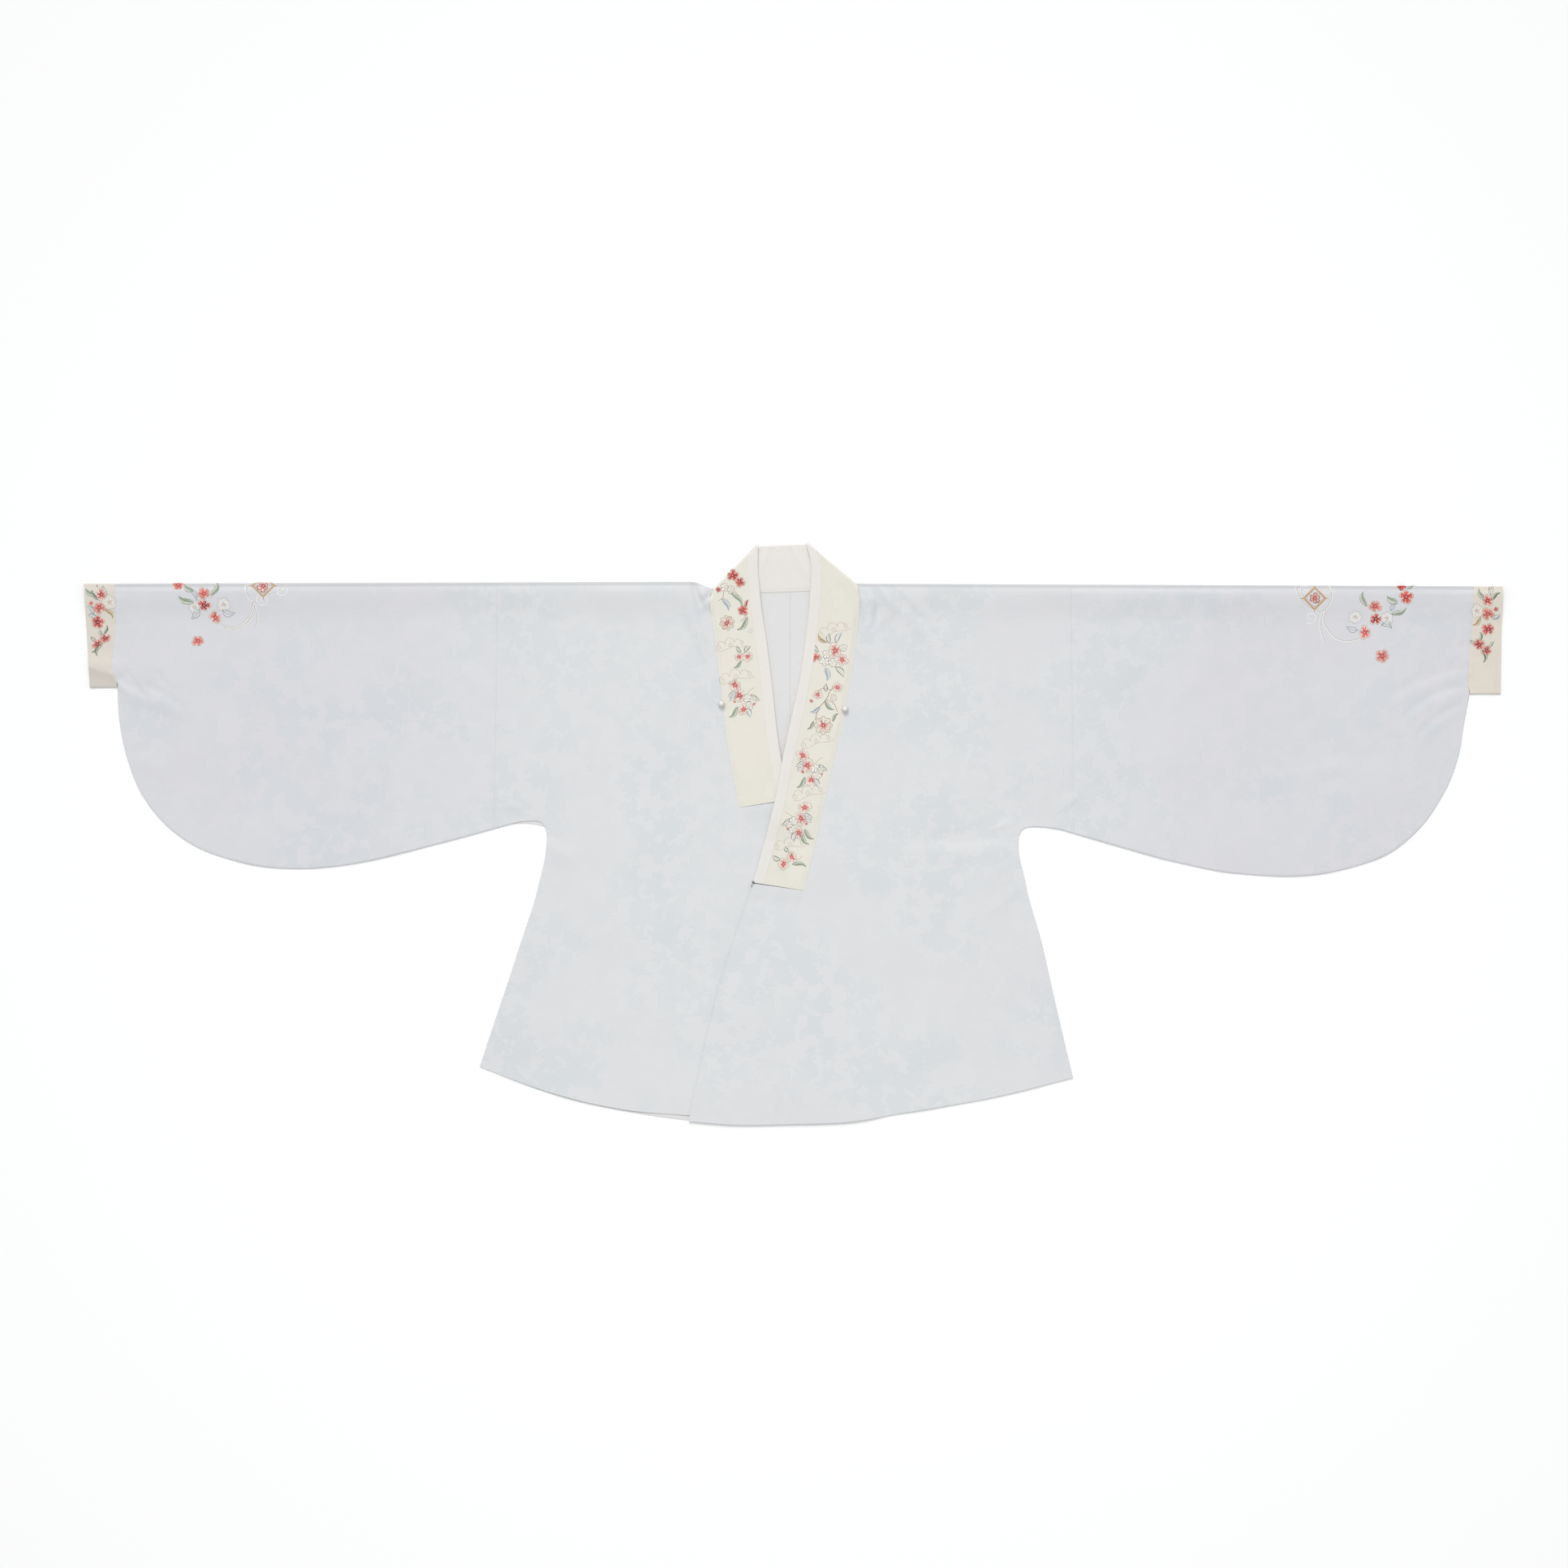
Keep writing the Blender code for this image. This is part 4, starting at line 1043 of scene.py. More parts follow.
def collar_strip(profile):
    """Sweeps a profile (share of width, distance past the free edge, distance off the outer face).

    The sections run from the right leg's end up to its mitre, turn over there, pass behind the neck with
    the inside up, turn over at the left mitre and run down the left leg. Also gives places on the flat strip.
    """
    share, past, off = np.array(profile, float).T
    legs, turns, mitres, lengths = {}, {}, {}, {}
    for side in ("right", "left"):
        seam, free = leg_edges(side, steps(0, 1, LEG_STATIONS[side], 0.3))
        width = np.linalg.norm(free - seam, axis=1)[:, None]
        reach = slant(seam, free)[:, None]
        along = share[None] * (width - GUARD_EDGE * reach) + past[None] * reach
        plan = seam[:, None] + (free - seam)[:, None] * (along / width)[..., None]
        z = np.maximum(leg_z(side, seam[:, None], plan, share[None]) + off[None], CLEAR_OF_BACK)
        legs[side] = np.concatenate([plan, z[..., None]], axis=-1)
        middle = (seam + free) / 2
        lengths[side] = np.concatenate([[0], np.cumsum(np.linalg.norm(np.diff(middle, axis=0), axis=1))])

        mitre = plan[0]
        run = (free - seam)[0] / width[0]
        outward = SIGN[side] * np.array([run[1], -run[0]])
        top_z, low_z = z[0] - off, back_neck_z(share, 0.0 if side == "right" else 1.0)
        radius = (top_z - low_z) / 2 + off
        angles = np.linspace(0, math.pi, MITRE_STEPS + 1)[1:-1, None]
        turn_plan = mitre + (np.sin(angles) * radius)[..., None] * outward
        turn_z = (top_z + low_z) / 2 + np.cos(angles) * radius
        turns[side] = np.concatenate([turn_plan, turn_z[..., None]], axis=-1)
        mitres[side] = mitre

    t = np.linspace(0, 1, BACK_NECK_STATIONS + 1)[:, None]
    behind = mitres["right"][None] * (1 - t)[..., None] + mitres["left"][None] * t[..., None]
    behind[..., 1] -= NECK_SAG * 4 * t * (1 - t) * (1 - share[None])
    low = np.broadcast_to(back_neck_z(share, t) - off, behind.shape[:2])
    behind = np.concatenate([behind, low[..., None]], axis=-1)
    strip = np.concatenate([legs["right"][::-1], turns["right"], behind, turns["left"][::-1], legs["left"]])
    across_neck = float(np.linalg.norm(mitres["left"][0] - mitres["right"][0]))
    turn_run = np.linspace(0, FOLD_ARC, MITRE_STEPS + 1)[1:-1]
    run = np.concatenate([
        -lengths["right"][::-1], turn_run, FOLD_ARC + t[:, 0] * across_neck,
        FOLD_ARC + across_neck + turn_run, 2 * FOLD_ARC + across_neck + lengths["left"],
    ])
    mean_width = 63.0
    places = np.stack(np.broadcast_arrays(run[:, None], (share * mean_width + past + off)[None]), axis=-1)
    return strip, places


cream_silk = cloth_material(
    "cream_silk", linear(229, 225.8, 215), linear(224, 222, 208), linear(231, 224, 215),
    0.6, 0.05, 0.7,
)

band_profile = [(share, 0, 0) for share in steps(0, 1, BAND_COLUMNS, 0.55)]
band_sheet = Sheet()
band_points, band_places = collar_strip(band_profile)
strip_facing = np.zeros_like(band_points)
strip_facing[: LEG_STATIONS["right"], :, 2] = 1.0
strip_facing[-LEG_STATIONS["left"]:, :, 2] = 1.0
band_sheet.add(band_points, band_places, strip_facing)
band_piece = band_sheet.sew("collar_band", "collar", cream_silk, "cream_band", BAND_WALL, 0.0)

# Collar guard
# A narrow white strip protects the collar's free edge: its wide half covers the inside, it turns round
# the edge, and its narrow half is caught down along the outer face.
GUARD_WALL = 0.5
GUARD_TURN_STEPS = 9
GUARD_SHARES = 30
GUARD_START = 0.012
GUARD_LIES = 0.72
WRAP_COLUMNS = 12

guard_silk = cloth_material(
    "guard_silk", linear(231, 227.5, 222), linear(227.5, 224.5, 218.5), linear(232, 226, 221),
    0.6, 0.03, 0.4,
)

turn_angles = np.linspace(-math.pi / 2, math.pi / 2, GUARD_TURN_STEPS + 1)[1:-1]
guard_profile = []
for share in steps(GUARD_START, 1, GUARD_SHARES, 0.4):
    raised = float(smooth((share - GUARD_START) / 0.1))
    guard_profile.append((share, 0, -GUARD_LIES - (GUARD_OFF - GUARD_LIES) * raised))
guard_profile += [(1, GUARD_OFF * math.cos(a), GUARD_OFF * math.sin(a)) for a in turn_angles]
for share in steps(1, WRAP_SHARE, WRAP_COLUMNS, 0.3):
    settled = float(smooth((1 - share) / (1 - WRAP_SHARE)))
    guard_profile.append((share, 0, GUARD_OFF - (GUARD_OFF - GUARD_LIES) * settled))
guard_sheet = Sheet()
guard_points, guard_places = collar_strip(guard_profile)
guard_facing = np.zeros_like(guard_points)
guard_facing[: LEG_STATIONS["right"], -WRAP_COLUMNS:, 2] = 1.0
guard_facing[-LEG_STATIONS["left"]:, -WRAP_COLUMNS:, 2] = 1.0
guard_sheet.add(guard_points, guard_places, guard_facing)
guard_piece = guard_sheet.sew(
    "collar_guard_cloth", "collar_guard", guard_silk, "white_guard", GUARD_WALL, 0.0,
)

# Pearls
# A round pearl sits beside the band on each side. It is drilled through, and a thread from each hole
# goes down into the cloth.
PEARL_RADIUS = 4.0
DRILL_RADIUS = 0.45
DRILL_DEPTH = 1.0
PEARL_RISE = 0.3
PEARL_THREAD = 0.22
PEARL_RINGS = 30
PEARL_AROUND = 41
FINE_WELD = 0.002


def pearl_material():
    """Nacre: warm white with a faint rose drift, painted shade darker towards its rim, and a clear coat."""
    plain = {"Coat Weight": 0.7, "Coat Roughness": 0.08, "Specular IOR Level": 0.6}
    material, tree, shader = new_material("nacre", plain)
    place = tree.nodes.new("ShaderNodeTexCoord").outputs["Object"]
    rose = patches(tree, place, (260.0, 2.0), (0.4, 0.6))
    colour = mix_colour(tree, rose, linear(236, 234, 226), linear(240, 234, 228))
    # Painted shade: the colour darkens where the ball's surface turns away from the view, towards its outline
    rim = tree.nodes.new("ShaderNodeLayerWeight")
    rim.inputs["Blend"].default_value = 0.35
    rim_shade = math_node(tree, "MULTIPLY", rim.outputs["Facing"], 0.75)
    tree.links.new(mix_colour(tree, rim_shade, colour, linear(150, 146, 132)), shader.inputs["Base Color"])
    tree.links.new(patches(tree, place, (900.0, 3.0), (0.3, 0.7, 0.2, 0.3)), shader.inputs["Roughness"])
    return material


def thread_tube(path, radius, around=8):
    """A thin round thread along a path: a ring square to each step, drawn in to a point at both ends."""
    path = np.array(path, float)
    run = np.gradient(path, axis=0)
    run /= np.linalg.norm(run, axis=1)[:, None]
    side = np.cross(run, [0.0, 0.31, 0.95])
    side /= np.linalg.norm(side, axis=1)[:, None]
    other = np.cross(run, side)
    angle = np.linspace(0, 2 * math.pi, around + 1)[None, :, None]
    size = np.full(len(path), radius)
    size[[0, -1]] = 0.0
    ring = np.cos(angle) * side[:, None] + np.sin(angle) * other[:, None]
    return path[:, None] + size[:, None, None] * ring


def loose_mesh(name, grids, material, outward):
    """A mesh of separate closed grids, each turned so that its faces look away from its own middle."""
    points, faces, count = [], [], 0
    for grid in grids:
        away = grid - (grid.mean(axis=(0, 1)) if outward else grid.mean(axis=1, keepdims=True))
        flip = float((quad_normals(grid) * away[:-1, :-1]).sum()) < 0
        faces.append(grid_faces(*grid.shape[:2], count, flip))
        points.append(grid.reshape(-1, 3))
        count += grid.shape[0] * grid.shape[1]
    mesh = bpy.data.meshes.new(name)
    mesh.from_pydata(to_frame(np.concatenate(points)).tolist(), [], np.concatenate(faces).tolist())
    weld(mesh, FINE_WELD)
    mesh.shade_smooth()
    mesh.materials.append(material)
    piece = lay_out(name, mesh)
    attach(piece, "root")
    return piece


def plain_thread_material(name, colour):
    """Sewing thread: one dye with slow change along it, and a fine twist."""
    material, tree, shader = new_material(name, {"Roughness": 0.5})
    place = tree.nodes.new("ShaderNodeTexCoord").outputs["Object"]
    worn = patches(tree, place, (500.0, 2.0), (0.35, 0.65))
    lighter = tuple(min(1.0, 1.5 * x) for x in colour)
    tree.links.new(mix_colour(tree, worn, colour, lighter), shader.inputs["Base Color"])
    add_bump(tree, shader, noise_node(tree, place, 4000.0, 2.0), 0.05)
    return material


nacre = pearl_material()
white_thread = plain_thread_material("white_thread", linear(226, 222, 214))
navy_thread = plain_thread_material("navy_thread", linear(58, 62, 82))


def pearl(side):
    """A sphere round a drilled axis: rings from one hole's floor over its lip, over the ball, and back."""
    x, y = PEARL_AT[side]
    cloth_z = float(front_skin(side, np.array([x, y])))
    middle = np.array([x, y, cloth_z + PEARL_RISE + PEARL_RADIUS])
    lip = math.asin(DRILL_RADIUS / PEARL_RADIUS)
    ball = np.linspace(lip, math.pi - lip, PEARL_RINGS)
    floor_at = PEARL_RADIUS * math.cos(lip) - DRILL_DEPTH
    along = np.concatenate([[floor_at, floor_at], PEARL_RADIUS * np.cos(ball), [-floor_at, -floor_at]])
    ring = np.concatenate([[0.0, DRILL_RADIUS], PEARL_RADIUS * np.sin(ball), [DRILL_RADIUS, 0.0]])
    along, ring = along[:, None], ring[:, None]
    around = np.linspace(0, 2 * math.pi, PEARL_AROUND)[None]
    rings = np.broadcast_arrays(along, ring * np.cos(around), ring * np.sin(around))
    grid = np.stack(rings, axis=-1) + middle
    name = "pearl_" + side
    piece = loose_mesh(name + "_bead", [grid], nacre, True)
    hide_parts(name)
    threads = []
    for way in (-1, 1):
        t = np.linspace(0, 1, 12)
        out = way * (floor_at + 0.2 + 1.9 * t)
        drop = (cloth_z - 0.3 - middle[2]) * np.clip((t - 0.35) / 0.65, 0, 1) ** 1.6
        threads.append(np.column_stack([x + out, np.full(12, y), middle[2] + drop]))
    loose_mesh(name + "_thread", [thread_tube(path, PEARL_THREAD) for path in threads], white_thread, False)


for side in ("right", "left"):
    pearl(side)

# Thread tack at the collar's end
# A few turns of dark thread hold the lower corner of the left leg to the cloth under it, and their ends
# hang loose.
TACK_CORNER = (-46.5, -380.5)
TACK_RISE = 2.6
TACK_THREAD = 0.42
# Turns of the tack: start x and y from the corner, run x and y, and rise
TACK_TURNS = [
    (-1.6, 1.5, 3.6, -1.4, 1.0),
    (-1.8, 0.3, 3.4, 0.2, 1.15),
    (-1.5, -1.0, 3.2, 1.4, 1.3),
    (-1.7, -2.4, -1.0, -3.6, 0.25),
]
tack_paths = []
t = np.linspace(0, 1, 14)
for shift_x, shift_y, run_x, run_y, rise in TACK_TURNS:
    tack_x = TACK_CORNER[0] + shift_x + run_x * t
    tack_y = TACK_CORNER[1] + shift_y + run_y * t + 0.3 * np.sin(7 * t)
    tack_under = front_skin("left", np.column_stack([tack_x, tack_y]))
    on_end = smooth((tack_y - TACK_CORNER[1] + 1.5) / 1.5) * smooth((tack_x - TACK_CORNER[0] + 2.2) / 1.2)
    tack_z = tack_under + 0.2 + TACK_RISE * 0.5 * on_end * rise + 0.3 * rise * np.sin(math.pi * t)
    tack_paths.append(np.column_stack([tack_x, tack_y, tack_z]))
loose_mesh("collar_tack", [thread_tube(path, TACK_THREAD) for path in tack_paths], navy_thread, False)

# Embroidery on the sleeves
# Blossom sprays, white ribbons and a gold lozenge are worked in silk thread: satin stitches side by side,
# stem stitch for lines and knots at the hearts. A spray runs over the top fold and ends on the back.
DYES = {
    "coral": linear(215, 86, 78),
    "rose": linear(226, 104, 102),
    "red": linear(188, 48, 52),
    "garnet": linear(158, 34, 44),
    "pink": linear(233, 140, 128),
    "blush": linear(247, 214, 204),
    "cream": linear(253, 249, 240),
    "white": linear(255, 254, 250),
    "sage": linear(168, 184, 158),
    "leaf": linear(102, 122, 96),
    "blue": linear(180, 194, 206),
    "slate": linear(128, 142, 156),
    "olive": linear(148, 140, 110),
    "umber": linear(178, 148, 128),
    "ochre": linear(208, 176, 116),
    "gold": linear(208, 160, 80),
    "brown": linear(160, 120, 78),
    "sand": linear(200, 180, 150),
    "shell": linear(212, 194, 178),
}
WHITE_PETALS = ("cream", "white", "olive")
ROSE_PETALS = ("rose", "blush", "cream")
STITCH_STATIONS = np.array([0.0, 0.16, 0.84, 1.0])
STITCH_ARCH = np.array([-0.15, 1.0, 1.0, -0.15])
STITCH_TAPER = np.array([0.55, 1.0, 1.0, 0.55])
STITCH_SIDES = np.array([-0.5, 0.0, 0.5])
STITCH_CROWN = np.array([-0.1, 1.0, -0.1])
SATIN_PITCH = 0.62
LEAF_SHARE = 0.76
TWIST_A_METRE = 9000.0


def smooth_path(points, pitch):
    """Points at even distances along a smooth curve through the given ones."""
    points = np.array(points, float)
    run = np.concatenate([[0], np.cumsum(np.linalg.norm(np.diff(points, axis=0), axis=1))])
    fine = through(np.column_stack([run, points]), np.linspace(0, run[-1], 40 * len(points)))
    run = np.concatenate([[0], np.cumsum(np.linalg.norm(np.diff(fine, axis=0), axis=1))])
    even = np.linspace(0, run[-1], max(3, round(run[-1] / pitch) + 1))
    return np.column_stack([np.interp(even, run, fine[:, 0]), np.interp(even, run, fine[:, 1])])


def polar(centre, reach, angle):
    """Plan points at a distance and an angle from a centre."""
    return np.asarray(centre, float) + np.stack([reach * np.cos(angle), reach * np.sin(angle)], axis=-1)


class Needlework:
    """Stitches on one piece of cloth: start, end, width, height and colour of each, on the flat cloth."""

    def __init__(self, seed):
        self.draw = np.random.default_rng(seed)
        self.rows = []

    def stitch(self, start, end, width, dye, height=0.3):
        """Straight stitches, whose colour varies a little from one to the next, as dyed silk does."""
        start, end = np.atleast_2d(start), np.atleast_2d(end)
        count = len(start)
        tint = np.broadcast_to(dye, (count, 3)) * (1 + self.draw.normal(0, 0.05, (count, 1)))
        sizes = np.column_stack([np.broadcast_to(width, count), np.broadcast_to(height, count)])
        self.rows.append(np.column_stack([start, end, sizes, tint]))

    def stem(self, points, width, dye, height=0.24, pitch=1.7):
        """Stem stitch: short stitches along a curve, each a little aslant and over the end of the last."""
        path = smooth_path(points, pitch)
        run = np.diff(path, axis=0)
        side = square_to(run)
        start = path[:-1] - 0.2 * run - 0.12 * width * side
        self.stitch(start, path[1:] + 0.2 * run + 0.12 * width * side, width, DYES[dye], height)

    def satin(self, points, width, dye, height=0.36):
        """Satin stitches side by side across a curve."""
        path = smooth_path(points, SATIN_PITCH)
        half = square_to(np.gradient(path, axis=0)) * width / 2
        half = half * self.draw.uniform(0.88, 1.08, (len(path), 1))
        self.stitch(path - half, path + half, 0.8, DYES[dye], height)

    def knots(self, centre, reach, count, dye, turn=0.0):
        """French knots in a ring: very short, high stitches."""
        at = polar(centre, np.full(count, reach), turn + np.arange(count) * 2 * math.pi / count)
        self.stitch(at - (0.45, 0.1), at + (0.45, 0.1), 0.85, DYES[dye], 0.42)

    def petal_rim(self, fan, radius):
        """Distance of a petal's rim from the heart: round, with a small notch at its middle."""
        return radius * (1 - 0.24 * fan**2 - 0.08 * np.exp(-((fan / 0.2) ** 2)))

    def petal_path(self, centre, radius, angle, half, foot, side, out):
        """Outline of a petal: up one side from its foot, round the rim, and down the other side."""
        fan = np.linspace(-1, 1, 7)
        feet = [polar(centre, np.array([foot * radius]), np.array([angle + s * half])) for s in (-side, side)]
        rim = polar(centre, out * self.petal_rim(fan, radius), angle + out * fan * half)
        return np.concatenate([feet[0], rim, feet[1]])

    def lines(self, centre, radius, begin, end, angles, width, dye, height):
        """Single stitches that run out from a heart, from and to shares of the radius."""
        start = polar(centre, radius * np.array(begin), angles)
        self.stitch(start, polar(centre, radius * np.array(end), angles), width, DYES[dye], height)

    def rays(self, centre, inner, outer, first_angle, width):
        """Eight pointed rays of satin stitch round a rosette."""
        for angle in np.arange(8) * math.pi / 4 + first_angle:
            tip = polar(centre, outer, angle)
            feet = [polar(centre, inner, angle + away) for away in (-0.36, 0.36)]
            self.satin([feet[0], tip, feet[1]], width, "sand")

    def blossom(self, centre, radius, inner="coral", outer="pink", rim="cream", turn=0.3, petals=5):
        """Petals in three tiers of fanned stitches, deep to pale from the heart, with rims, lines, knots."""
        pale = inner == "cream"
        half = math.pi / petals * 0.84
        across = max(4, round(1.7 * radius * half / 0.85))
        middle = (np.array(DYES[inner]) + np.array(DYES[outer])) / 2
        tiers = [(0.56, 1.0, DYES[outer], 0.26), (0.3, 0.74, middle, 0.3), (0.08, 0.46, DYES[inner], 0.34)]
        for number in range(petals):
            angle = turn + number * 2 * math.pi / petals + self.draw.normal(0, 0.12)
            reach = radius * self.draw.uniform(0.78, 1.1)
            shade = self.draw.uniform(0.8, 1.1)
            for tier, (begin, end, dye, height) in enumerate(tiers):
                fan = np.linspace(-1, 1, max(3, across - tier))
                spread = self.draw.uniform(0.8, 1.12, len(fan))
                if not pale:
                    tints = shade * self.draw.choice([0.72, 0.95, 1.05, 1.22], (len(fan), 1))
                    dye = np.array(dye) * tints
                first = reach * begin * spread
                last = self.petal_rim(fan, reach) * end * (spread if tier else 1)
                way = angle + fan * half
                self.stitch(polar(centre, first, way), polar(centre, last, way), 0.95, dye, height)
            streaks = angle + half * self.draw.uniform(-0.7, 0.7, 2)
            dye = "sand" if pale else "garnet"
            self.lines(centre, reach, (0.12, 0.12), (0.7, 0.5), streaks, 0.6, dye, 0.38)
            if not pale:
                glints = angle + half * self.draw.uniform(-0.9, 0.9, 2)
                self.lines(centre, reach, (0.45, 0.3), (0.9, 0.75), glints, 0.6, "blush", 0.4)
            if rim:
                path = self.petal_path(centre, reach, angle, half, 0.4, 1.05, 1.04)
                if not pale:
                    self.stem(path, 0.8, rim, 0.3, 1.5)
                    path = centre + (path - centre) * (1 + 0.75 / radius)
                self.stem(path, 0.55, rim if pale else "umber", 0.26 if not pale else 0.34, 1.6)
        self.knots(centre, 0.11 * radius, 3, "ochre" if pale else "blush", turn)

    def open_blossom(self, centre, radius, dye="white", heart="ochre", turn=0.0, petals=5):
        """A pale blossom: spaced stitches in each petal, a rim in stem stitch, and a fine line round it."""
        half = math.pi / petals * 0.88
        fan = np.linspace(-1, 1, 7)
        for number in range(petals):
            angle = turn + number * 2 * math.pi / petals + self.draw.normal(0, 0.06)
            reach = radius * self.draw.uniform(0.88, 1.06)
            way = angle + fan[::2] * half * 0.8
            self.lines(centre, reach, (0.3,) * 4, (0.8,) * 4, way, 0.4, dye, 0.2)
            path = self.petal_path(centre, reach, angle, half, 0.25, 1.0, 1.0)
            self.stem(path, 0.7, dye, 0.28, 1.6)
            self.stem(centre + (path - centre) * (1 + 0.7 / radius), 0.4, "olive", 0.22, 1.7)
            rays = angle + np.array([-0.25, 0.25])
            self.lines(centre, reach, (0.15, 0.15), (0.5, 0.5), rays, 0.4, "sand", 0.34)
        self.knots(centre, 0.14 * radius, 4, heart, turn)

    def ribbon(self, points, width, dye="white"):
        """A ribbon's edge: a broad stem-stitched line with a fine darker one on one side, a painted shadow in
        thread.
        """
        self.stem(points, 1.25 * width, dye, 0.34, 2.4)
        # Painted shadow: a thin olive line beside the ribbon on one side
        path = smooth_path(points, 4.0)
        self.stem(path + 0.85 * width * square_to(np.gradient(path, axis=0)), 0.4, "olive", 0.2)

    def leaf(self, base, tip, width, dye, rib="cream", bend=0.1, outline="leaf"):
        """Satin stitches slant forward off an S-bent rib on both sides, one side paler, in a fine outline."""
        base, tip = np.array(base, float), np.array(tip, float)
        run = tip - base
        square = np.array([-run[1], run[0]])

        def on_rib(t):
            sway = 4 * bend * t * (1 - t) - 0.035 * np.sin(2 * math.pi * t) * np.sign(bend)
            return base + run * t[:, None] + square * sway[:, None]

        t = np.linspace(0.03, 0.92, max(6, round(np.linalg.norm(run) / SATIN_PITCH)))
        half = LEAF_SHARE * width / 2 * np.sin(math.pi * t**0.8) ** 0.8
        unit = square / np.linalg.norm(square)
        paler = 0.5 * np.array(DYES[dye]) + 0.5 * np.array(DYES["cream"])
        for side, colour in ((-1, np.array(DYES[dye]) * 0.92), (1, paler)):
            end = on_rib(np.clip(t + 0.12, 0, 1)) + side * unit * half[:, None]
            self.stitch(on_rib(t), end, 0.85, colour, 0.28)
            edge = on_rib(t) + side * unit * half[:, None] * 1.08
            self.stem(np.concatenate([base[None], edge[::3], tip[None]]), 0.5, outline, 0.3)
        self.stem(on_rib(np.linspace(-0.05, 0.9, 6)), 0.42, rib, 0.36)

    def open_leaf(self, base, tip, width, dye, bend=0.1, fill=None):
        """A leaf in outline: both edges and the rib in stem stitch, with a thin fill if one is named."""
        if fill:
            self.leaf(base, tip, width * 0.9, fill, dye, bend)
        base, tip = np.array(base, float), np.array(tip, float)
        run = tip - base
        square = np.array([-run[1], run[0]])
        t = np.linspace(0, 1, 7)
        rib = base + run * t[:, None] + square * (4 * bend * t * (1 - t))[:, None]
        unit = square / np.linalg.norm(square)
        for side in (-1, 1):
            self.stem(rib + side * unit * (width / 2 * np.sin(math.pi * t**0.8))[:, None], 0.6, dye, 0.28)
        self.stem(rib[:-1], 0.45, dye, 0.24)

    def scroll(self, centre, radius, start, turns, dye, width=0.4):
        """A spiral line that winds in from a start angle by a number of turns."""
        t = np.linspace(0, 1, max(6, round(abs(turns) * 9)))
        self.stem(polar(centre, radius * (1 - 0.78 * t), start + 2 * math.pi * turns * t), width, dye, 0.24)

    def cloud(self, start, end, height, dye="shell", width=0.62):
        """A drifting cloud: bumps along a line, scrolls at both ends, and a trailing line below."""
        start, end = np.array(start, float), np.array(end, float)
        run = end - start
        up = np.array([-run[1], run[0]]) / np.linalg.norm(run)
        tilt = math.atan2(run[1], run[0])
        length = np.linalg.norm(run)
        for at, size in ((0.2, 0.8), (0.48, 1.0), (0.74, 0.7)):
            angle = np.linspace(math.pi * 1.02, -0.02 * math.pi, 7)
            reach = length * 0.15 * size
            self.stem(polar(start + run * at + up * height * 0.35 * size, reach, angle + tilt), width, dye, 0.2)
        self.scroll(start + run * 0.1 + up * height * 0.1, length * 0.1, tilt + 1.6, 1.3, dye, width)
        self.scroll(start + run * 0.5 + up * height * 0.15, length * 0.09, tilt - 0.4, -1.3, dye, width)
        self.scroll(start + run * 0.86 + up * height * 0.05, length * 0.08, tilt + 1.8, -1.2, dye, width)
        t = np.linspace(0, 1, 9)[:, None]
        self.stem(start + run * t - up * height * (0.25 + 0.12 * np.sin(9 * t)), width, dye, 0.2)

    def sew(self, name, place):
        """Makes each stitch a strip of six quads, arched along and across, and places them on the cloth."""
        rows = np.concatenate(self.rows)
        start, end, width, height, tint = np.split(rows, (2, 4, 5, 6), axis=1)
        width, height = width[:, 0], height[:, 0]
        run = end - start
        length = np.maximum(np.linalg.norm(run, axis=1), 0.05)
        side = np.column_stack([-run[:, 1], run[:, 0]]) / length[:, None]
        along = start[:, None, None] + run[:, None, None] * STITCH_STATIONS[:, None, None]
        offset = width[:, None, None] * STITCH_TAPER[:, None] * STITCH_SIDES
        flat = along + side[:, None, None] * offset[..., None]
        lift = height[:, None, None] * np.minimum(STITCH_ARCH[:, None], STITCH_CROWN)
        points = place(flat.reshape(-1, 2), lift.ravel())
        count = len(rows)
        quads = grid_faces(4, 3)
        faces = (quads[None] + 12 * np.arange(count)[:, None, None]).reshape(-1, 4)
        mesh = bpy.data.meshes.new(name)
        mesh.from_pydata(to_frame(points).tolist(), [], faces.tolist())
        dyes = np.ones((count, 12, 4))
        dyes[..., :3] = np.clip(tint, 0, 1)[:, None]
        mesh.color_attributes.new("dye", "FLOAT_COLOR", "POINT").data.foreach_set("color", dyes.ravel())
        u = np.broadcast_to(length[:, None, None] * STITCH_STATIONS[:, None], (count, 4, 3))
        thread = np.stack([u, np.broadcast_to(offset, u.shape)], axis=-1).reshape(-1, 2) * MM
        mesh.uv_layers.new(name="thread").data.foreach_set("uv", thread[faces.ravel()].ravel())
        mesh.shade_smooth()
        mesh.materials.append(silk_thread)
        piece = lay_out(name, mesh)
        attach(piece, "root")
        return piece


def thread_material():
    """Twisted floss: the dye of each stitch, a soft gloss, the twist as fine slanting ridges, and painted shade
    in their furrows.
    """
    plain = {"Roughness": 0.42, "Specular IOR Level": 0.45, "Sheen Weight": 0.2}
    material, tree, shader = new_material("silk_thread", plain)
    dye = tree.nodes.new("ShaderNodeAttribute")
    dye.attribute_name = "dye"
    along, across, _ = axes(tree, flat_places(tree, "thread"))
    slanted = math_node(tree, "MULTIPLY_ADD", across, 1.3, along)
    ridges = math_node(tree, "SINE", math_node(tree, "MULTIPLY", slanted, TWIST_A_METRE))
    # Painted shade: the colour darkens a little in the furrows of the twist
    furrow_shade = ramp_node(tree, ridges, -1.0, 0.2, 0.08, 0.0)
    colour = mix_colour(tree, furrow_shade, dye.outputs["Color"], linear(120, 96, 88))
    tree.links.new(colour, shader.inputs["Base Color"])
    add_bump(tree, shader, ridges, 0.08, 0.6)
    return material


silk_thread = thread_material()


